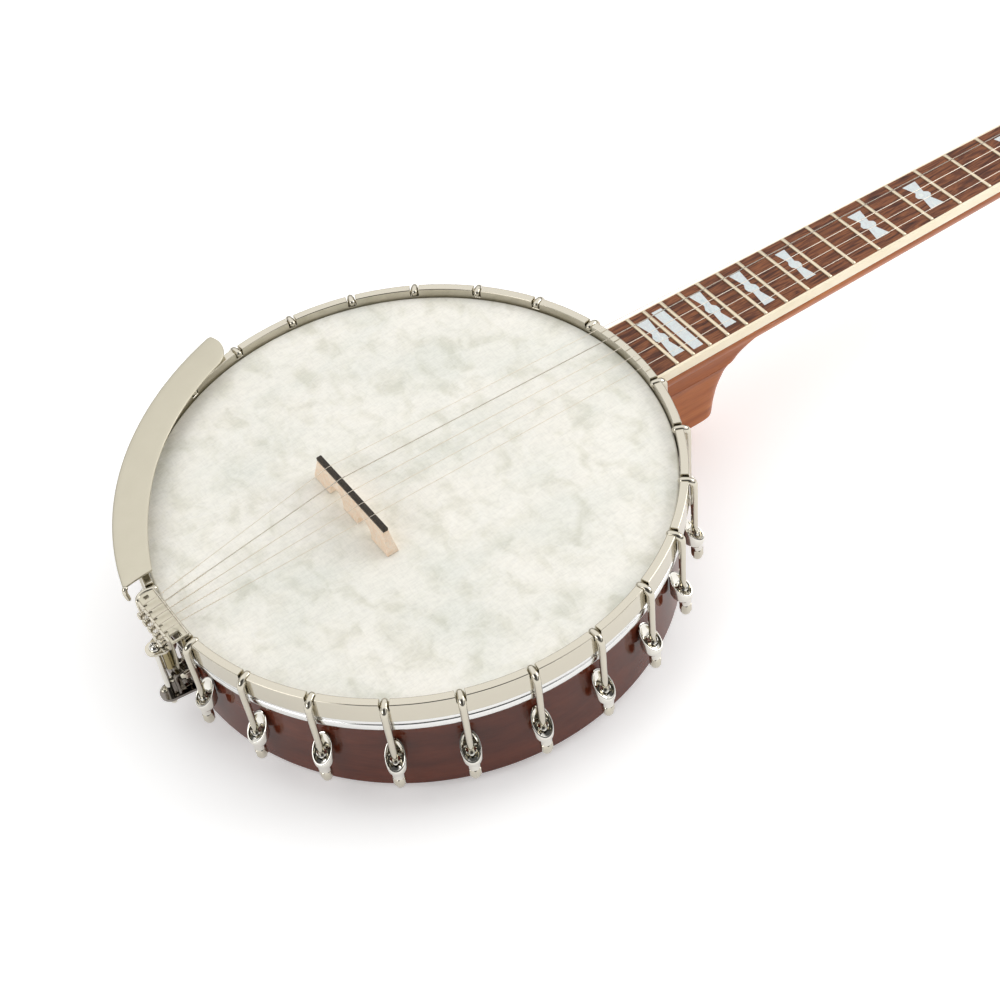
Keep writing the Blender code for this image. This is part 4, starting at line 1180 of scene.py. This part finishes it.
def make_tuners():
    """Four straight planetary tuners through the peghead, and the side tuner of the short string."""
    spots = {"tuner_1": (TUNER_S[0], -TUNER_Y), "tuner_2": (TUNER_S[1], -TUNER_Y),
             "tuner_3": (TUNER_S[1], TUNER_Y), "tuner_4": (TUNER_S[0], TUNER_Y)}
    inner, under, collar_flats, hole_z = 3.2, -15.4, 9.4, 9.6
    drum = [(0, under), (9.6, under, 0.6), (9.6, -25.4, 1.4), (6.0, -27.0), (0, -27.0)]
    sleeve = [(inner, 1.5), (4.2, 1.5), (4.2, under), (inner, under)]
    washer = [(inner, 1.2), (6.6, 1.2), (7.0, 0.8), (7.0, 0.1), (inner, 0.1)]
    collar = [(1.2, 4.8), (1.5, 5.4), (3.4, 5.4), (3.9, 4.7)]
    peg = [(0, 15.5), (3.3, 15.5, 0.7), (3.3, 13.6, 0.3), (2.5, 12.0, 0.8), (2.5, 7.4, 0.8),
           (3.0, 5.9, 0.3), (3.0, -15.0), (0, -15.0)]
    for name, (s, y) in spots.items():
        place = PEG @ shift(s, y, 0)
        hole = moved(moved(rod(0.75, -9, 9, 16), turn("X", 90)), shift(0, 0, hole_z))
        housing = {
            "drum": turned(drum, 0.5, 64),
            "band": knurled(9.9, -17.6, -19.4),
            "sleeve": lathe(sleeve, 32, closed=True),
            "washer": lathe(washer, 48, closed=True),
            "collar": carved(prism(collar, collar_flats), rod(inner, 9, -9, 32)),
        }
        for end, form in housing.items():
            show(name + "_" + end, form, place, "nickel", [name + "_housing"])
        post = name + "_post"
        show(name + "_peg", carved(turned(peg, 0.4, 48), hole), place, "nickel", [post], post)
        make_button(name, place)
    make_side_tuner()


def make_side_tuner():
    """The short string's tuner: a drum on the neck's side, a sleeve that turns, and its button."""
    inset, drum_z, housing = 10.0, -22.3, ["tuner_5_housing"]
    place = NECK @ shift(FIFTH_X, treble_half(FIFTH_X) - inset, FIFTH_Z) @ turn("X", 90)
    show("tuner_5_pin", rod(1.6, -8, drum_z), place, "steel", housing)
    drum = [(0, drum_z), (9.0, drum_z, 0.6), (9.0, -29.6, 1.3), (5.6, -31.0), (0, -31.0)]
    show("tuner_5_drum", turned(drum, 0.5, 64), place, "nickel", housing)
    show("tuner_5_band", knurled(9.3, -24.0, -25.6), place, "nickel", housing)
    sleeve = rounded([(3.6, -10.6), (3.6, -12.0), (2.7, -13.0), (2.7, -19.0), (3.6, -20.4), (3.6, -22.0),
                      (1.75, -22.0), (1.75, -10.6)], 0.3, 3)
    spool, post = lathe(sleeve, 48, closed=True), "tuner_5_post"
    show("tuner_5_spool", spool, place, "nickel", [post], post)
    make_button("tuner_5", place @ shift(0, 0, -4.0))


# ---------------------------------------------------------------- strings


def make_strings():
    """Each string from a twisted loop on its post, over the bridge and nut, to its tuner's coil."""
    pot = NECK.inverted() @ POT
    posts = {1: (TUNER_S[0], TUNER_Y), 2: (TUNER_S[1], TUNER_Y), 3: (TUNER_S[1], -TUNER_Y),
             4: (TUNER_S[0], -TUNER_Y)}
    lift = BRIDGE_H + 0.7
    spans = zip(TAIL_STRING_Y, BRIDGE_STRING_Y, NUT_STRING_Y, STRING_R)
    for index, (tail_y, bridge_y, nut_y, thick) in enumerate(spans):
        name = "string_%d" % (5 - index)
        tail_edge, rest = (-140.9, tail_y, 9.25), (BRIDGE_X, bridge_y, lift)
        from_tail = post_loop(tail_y) + [(-152.4, tail_y, 7.2), (-150.6, tail_y, 8.4),
                                         (-147.0, tail_y, 8.9), tail_edge, rest]
        route = [pot @ (Vector(p) * MM) / MM for p in from_tail]
        if index:
            route.append(Vector((NUT_X + 2.3, nut_y, 2.55)))
            route += peg_coil(*posts[index])
        else:
            route.append(Vector((PIP_X, nut_y, 2.75)))
            route += side_coil()
        look = "wound" if index == 1 else "wire"
        show(name + "_wire", tube(route, thick, 10), NECK, look, [name], crisp=80)
        ahead = (Vector(rest) - Vector(tail_edge)).normalized()
        twist = string_twist(Vector((-140.0, tail_y, 9.3)), ahead, thick)
        show(name + "_twist", twist, POT, "wire", [name], crisp=80)


def post_loop(tail_y):
    """The string's end loop round its post on the tailpiece."""
    radius, x, z = 1.5, -152.6, 2.4
    angles = [math.radians(25 + 310 * k / 20) for k in range(21)]
    return [(x, tail_y + radius * math.sin(a), z + radius * math.cos(a)) for a in angles]


def coil_angles(start, way):
    """Angles in radians for the turns of a string on its post."""
    return [math.radians(start) + way * k * math.pi / 16 for k in range(53)]


def peg_coil(s, y):
    """The turns on a post of the peghead, wound downwards, in the neck's frame."""
    radius, top, fall = 2.8, 11.2, 0.055
    to_neck = NECK.inverted() @ PEG
    way = -1.0 if y > 0 else 1.0
    coil = []
    for k, angle in enumerate(coil_angles(way * 90, way)):
        spot = (s + radius * math.cos(angle), y + radius * math.sin(angle), top - fall * k)
        coil.append(to_neck @ (Vector(spot) * MM) / MM)
    return coil


def side_coil():
    """The short string's way over the board's edge, and its turns on the side tuner."""
    radius, first, step = 3.0, 4.4, 0.08
    edge = treble_half(FIFTH_X)
    coil = [Vector((FIFTH_X - 4.5, edge + 0.8, 0.9))]
    for k, angle in enumerate(coil_angles(100, -1.0)):
        coil.append(Vector((FIFTH_X + radius * math.cos(angle), edge + first + step * k,
                            FIFTH_Z + radius * math.sin(angle))))
    return coil


def string_twist(start, ahead, thick):
    """The loop's loose end, wound round the string."""
    turns, per_turn, length, loose, sink = 14, 8, 24.0, 0.14, 0.01
    twist = []
    for k in range(turns * per_turn + 1):
        angle = 2 * math.pi * k / per_turn
        spot = start + ahead * length * k / (turns * per_turn)
        out = Vector((0, math.cos(angle), math.sin(angle)))
        twist.append(spot + out * (thick + loose - sink))
    return tube(twist, loose, 8)


# ---------------------------------------------------------------- studio


def make_floor():
    """A pale round floor just under the object, with a faint glow that keeps it white."""
    look = Look("floor", "")
    tone = look.mix(look.noise(400.0, 2.0), colour(250, 250, 249), colour(252, 252, 252))
    look.set(Base_Color=tone)
    look.set(Roughness=0.9, Emission_Color=grey(1.0), Emission_Strength=FLOOR_GLOW)
    form = bmesh.new()
    bmesh.ops.create_circle(form, cap_ends=True, segments=64, radius=FLOOR_RADIUS)
    mesh = mesh_of(form, "floor")
    mesh.materials.append(look.material)
    floor = bpy.data.objects.new("floor", mesh)
    link(floor)
    floor.location.z = FLOOR_Z


def make_world():
    """A soft white sky with a dark band above the horizon and a dark patch on one side.

    The plated parts mirror these, which gives them their contrast.
    """
    world = bpy.data.worlds.new("studio")
    world.use_nodes = True
    bpy.context.scene.world = world
    nodes, links = world.node_tree.nodes, world.node_tree.links
    place = nodes.new("ShaderNodeTexCoord").outputs["Generated"]
    parts = nodes.new("ShaderNodeSeparateXYZ")
    links.new(place, parts.inputs[0])
    facing = nodes.new("ShaderNodeVectorMath")
    facing.operation = "DOT_PRODUCT"
    links.new(place, facing.inputs[0])
    dark_side = turn("Z", VIEW_AZIMUTH) @ turn("X", -VIEW_ELEVATION) @ Vector((0, -1, 0))
    facing.inputs[1].default_value = dark_side
    layers = []
    for source, stops in ((parts.outputs[2], SKY), (facing.outputs["Value"], DARK_SIDE)):
        band = nodes.new("ShaderNodeValToRGB")
        links.new(source, band.inputs[0])
        fill_ramp(band.color_ramp, [(spot, grey(shade)) for spot, shade in stops])
        layers.append(band.outputs[0])
    both = nodes.new("ShaderNodeMix")
    both.data_type, both.blend_type = "RGBA", "MULTIPLY"
    both.inputs[0].default_value = 1.0
    links.new(layers[0], both.inputs[6])
    links.new(layers[1], both.inputs[7])
    links.new(both.outputs[2], nodes["Background"].inputs[0])
    nodes["Background"].inputs[1].default_value = SKY_STRENGTH


def make_light(name, offset, size, watts):
    """A soft box at an offset in metres from the head's centre, aimed at it."""
    lamp = bpy.data.lights.new(name, "AREA")
    lamp.shape = "RECTANGLE"
    lamp.size, lamp.size_y = size
    lamp.energy = watts
    made = bpy.data.objects.new(name, lamp)
    made.location = head_centre + Vector(offset)
    made.rotation_euler = (made.location - head_centre).to_track_quat("Z", "Y").to_euler()
    link(made)


def make_camera():
    """A view from the tail's right, looking down on the head, with a slight roll."""
    lens = bpy.data.cameras.new("camera")
    lens.lens = LENS
    lens.sensor_width = SENSOR
    made = bpy.data.objects.new("camera", lens)
    aim = head_centre + Vector(AIM_OFFSET) * MM
    stand = turn("Z", VIEW_AZIMUTH) @ turn("X", 90.0 - VIEW_ELEVATION) @ turn("Z", VIEW_ROLL)
    made.matrix_world = Matrix.Translation(aim) @ stand @ Matrix.Translation((0, 0, VIEW_DISTANCE))
    link(made)
    bpy.context.scene.camera = made


make_camera()
make_world()
make_floor()
make_light("overhead", (0.3, 0.55, 1.7), (3.4, 2.8), 11)
make_light("right", (1.3, -0.5, 0.75), (1.0, 0.7), 8)
make_light("left", (-1.8, -0.3, 0.9), (1.0, 0.8), 7)
make_rim()
make_head()
make_tension_hoop()
make_brackets()
make_coordinator_rod()
make_bridge()
make_tailpiece()
make_armrest()
make_armrest_bracket()
make_neck()
make_fretboard()
make_tuners()
make_strings()
bpy.context.scene.view_settings.view_transform = "Standard"
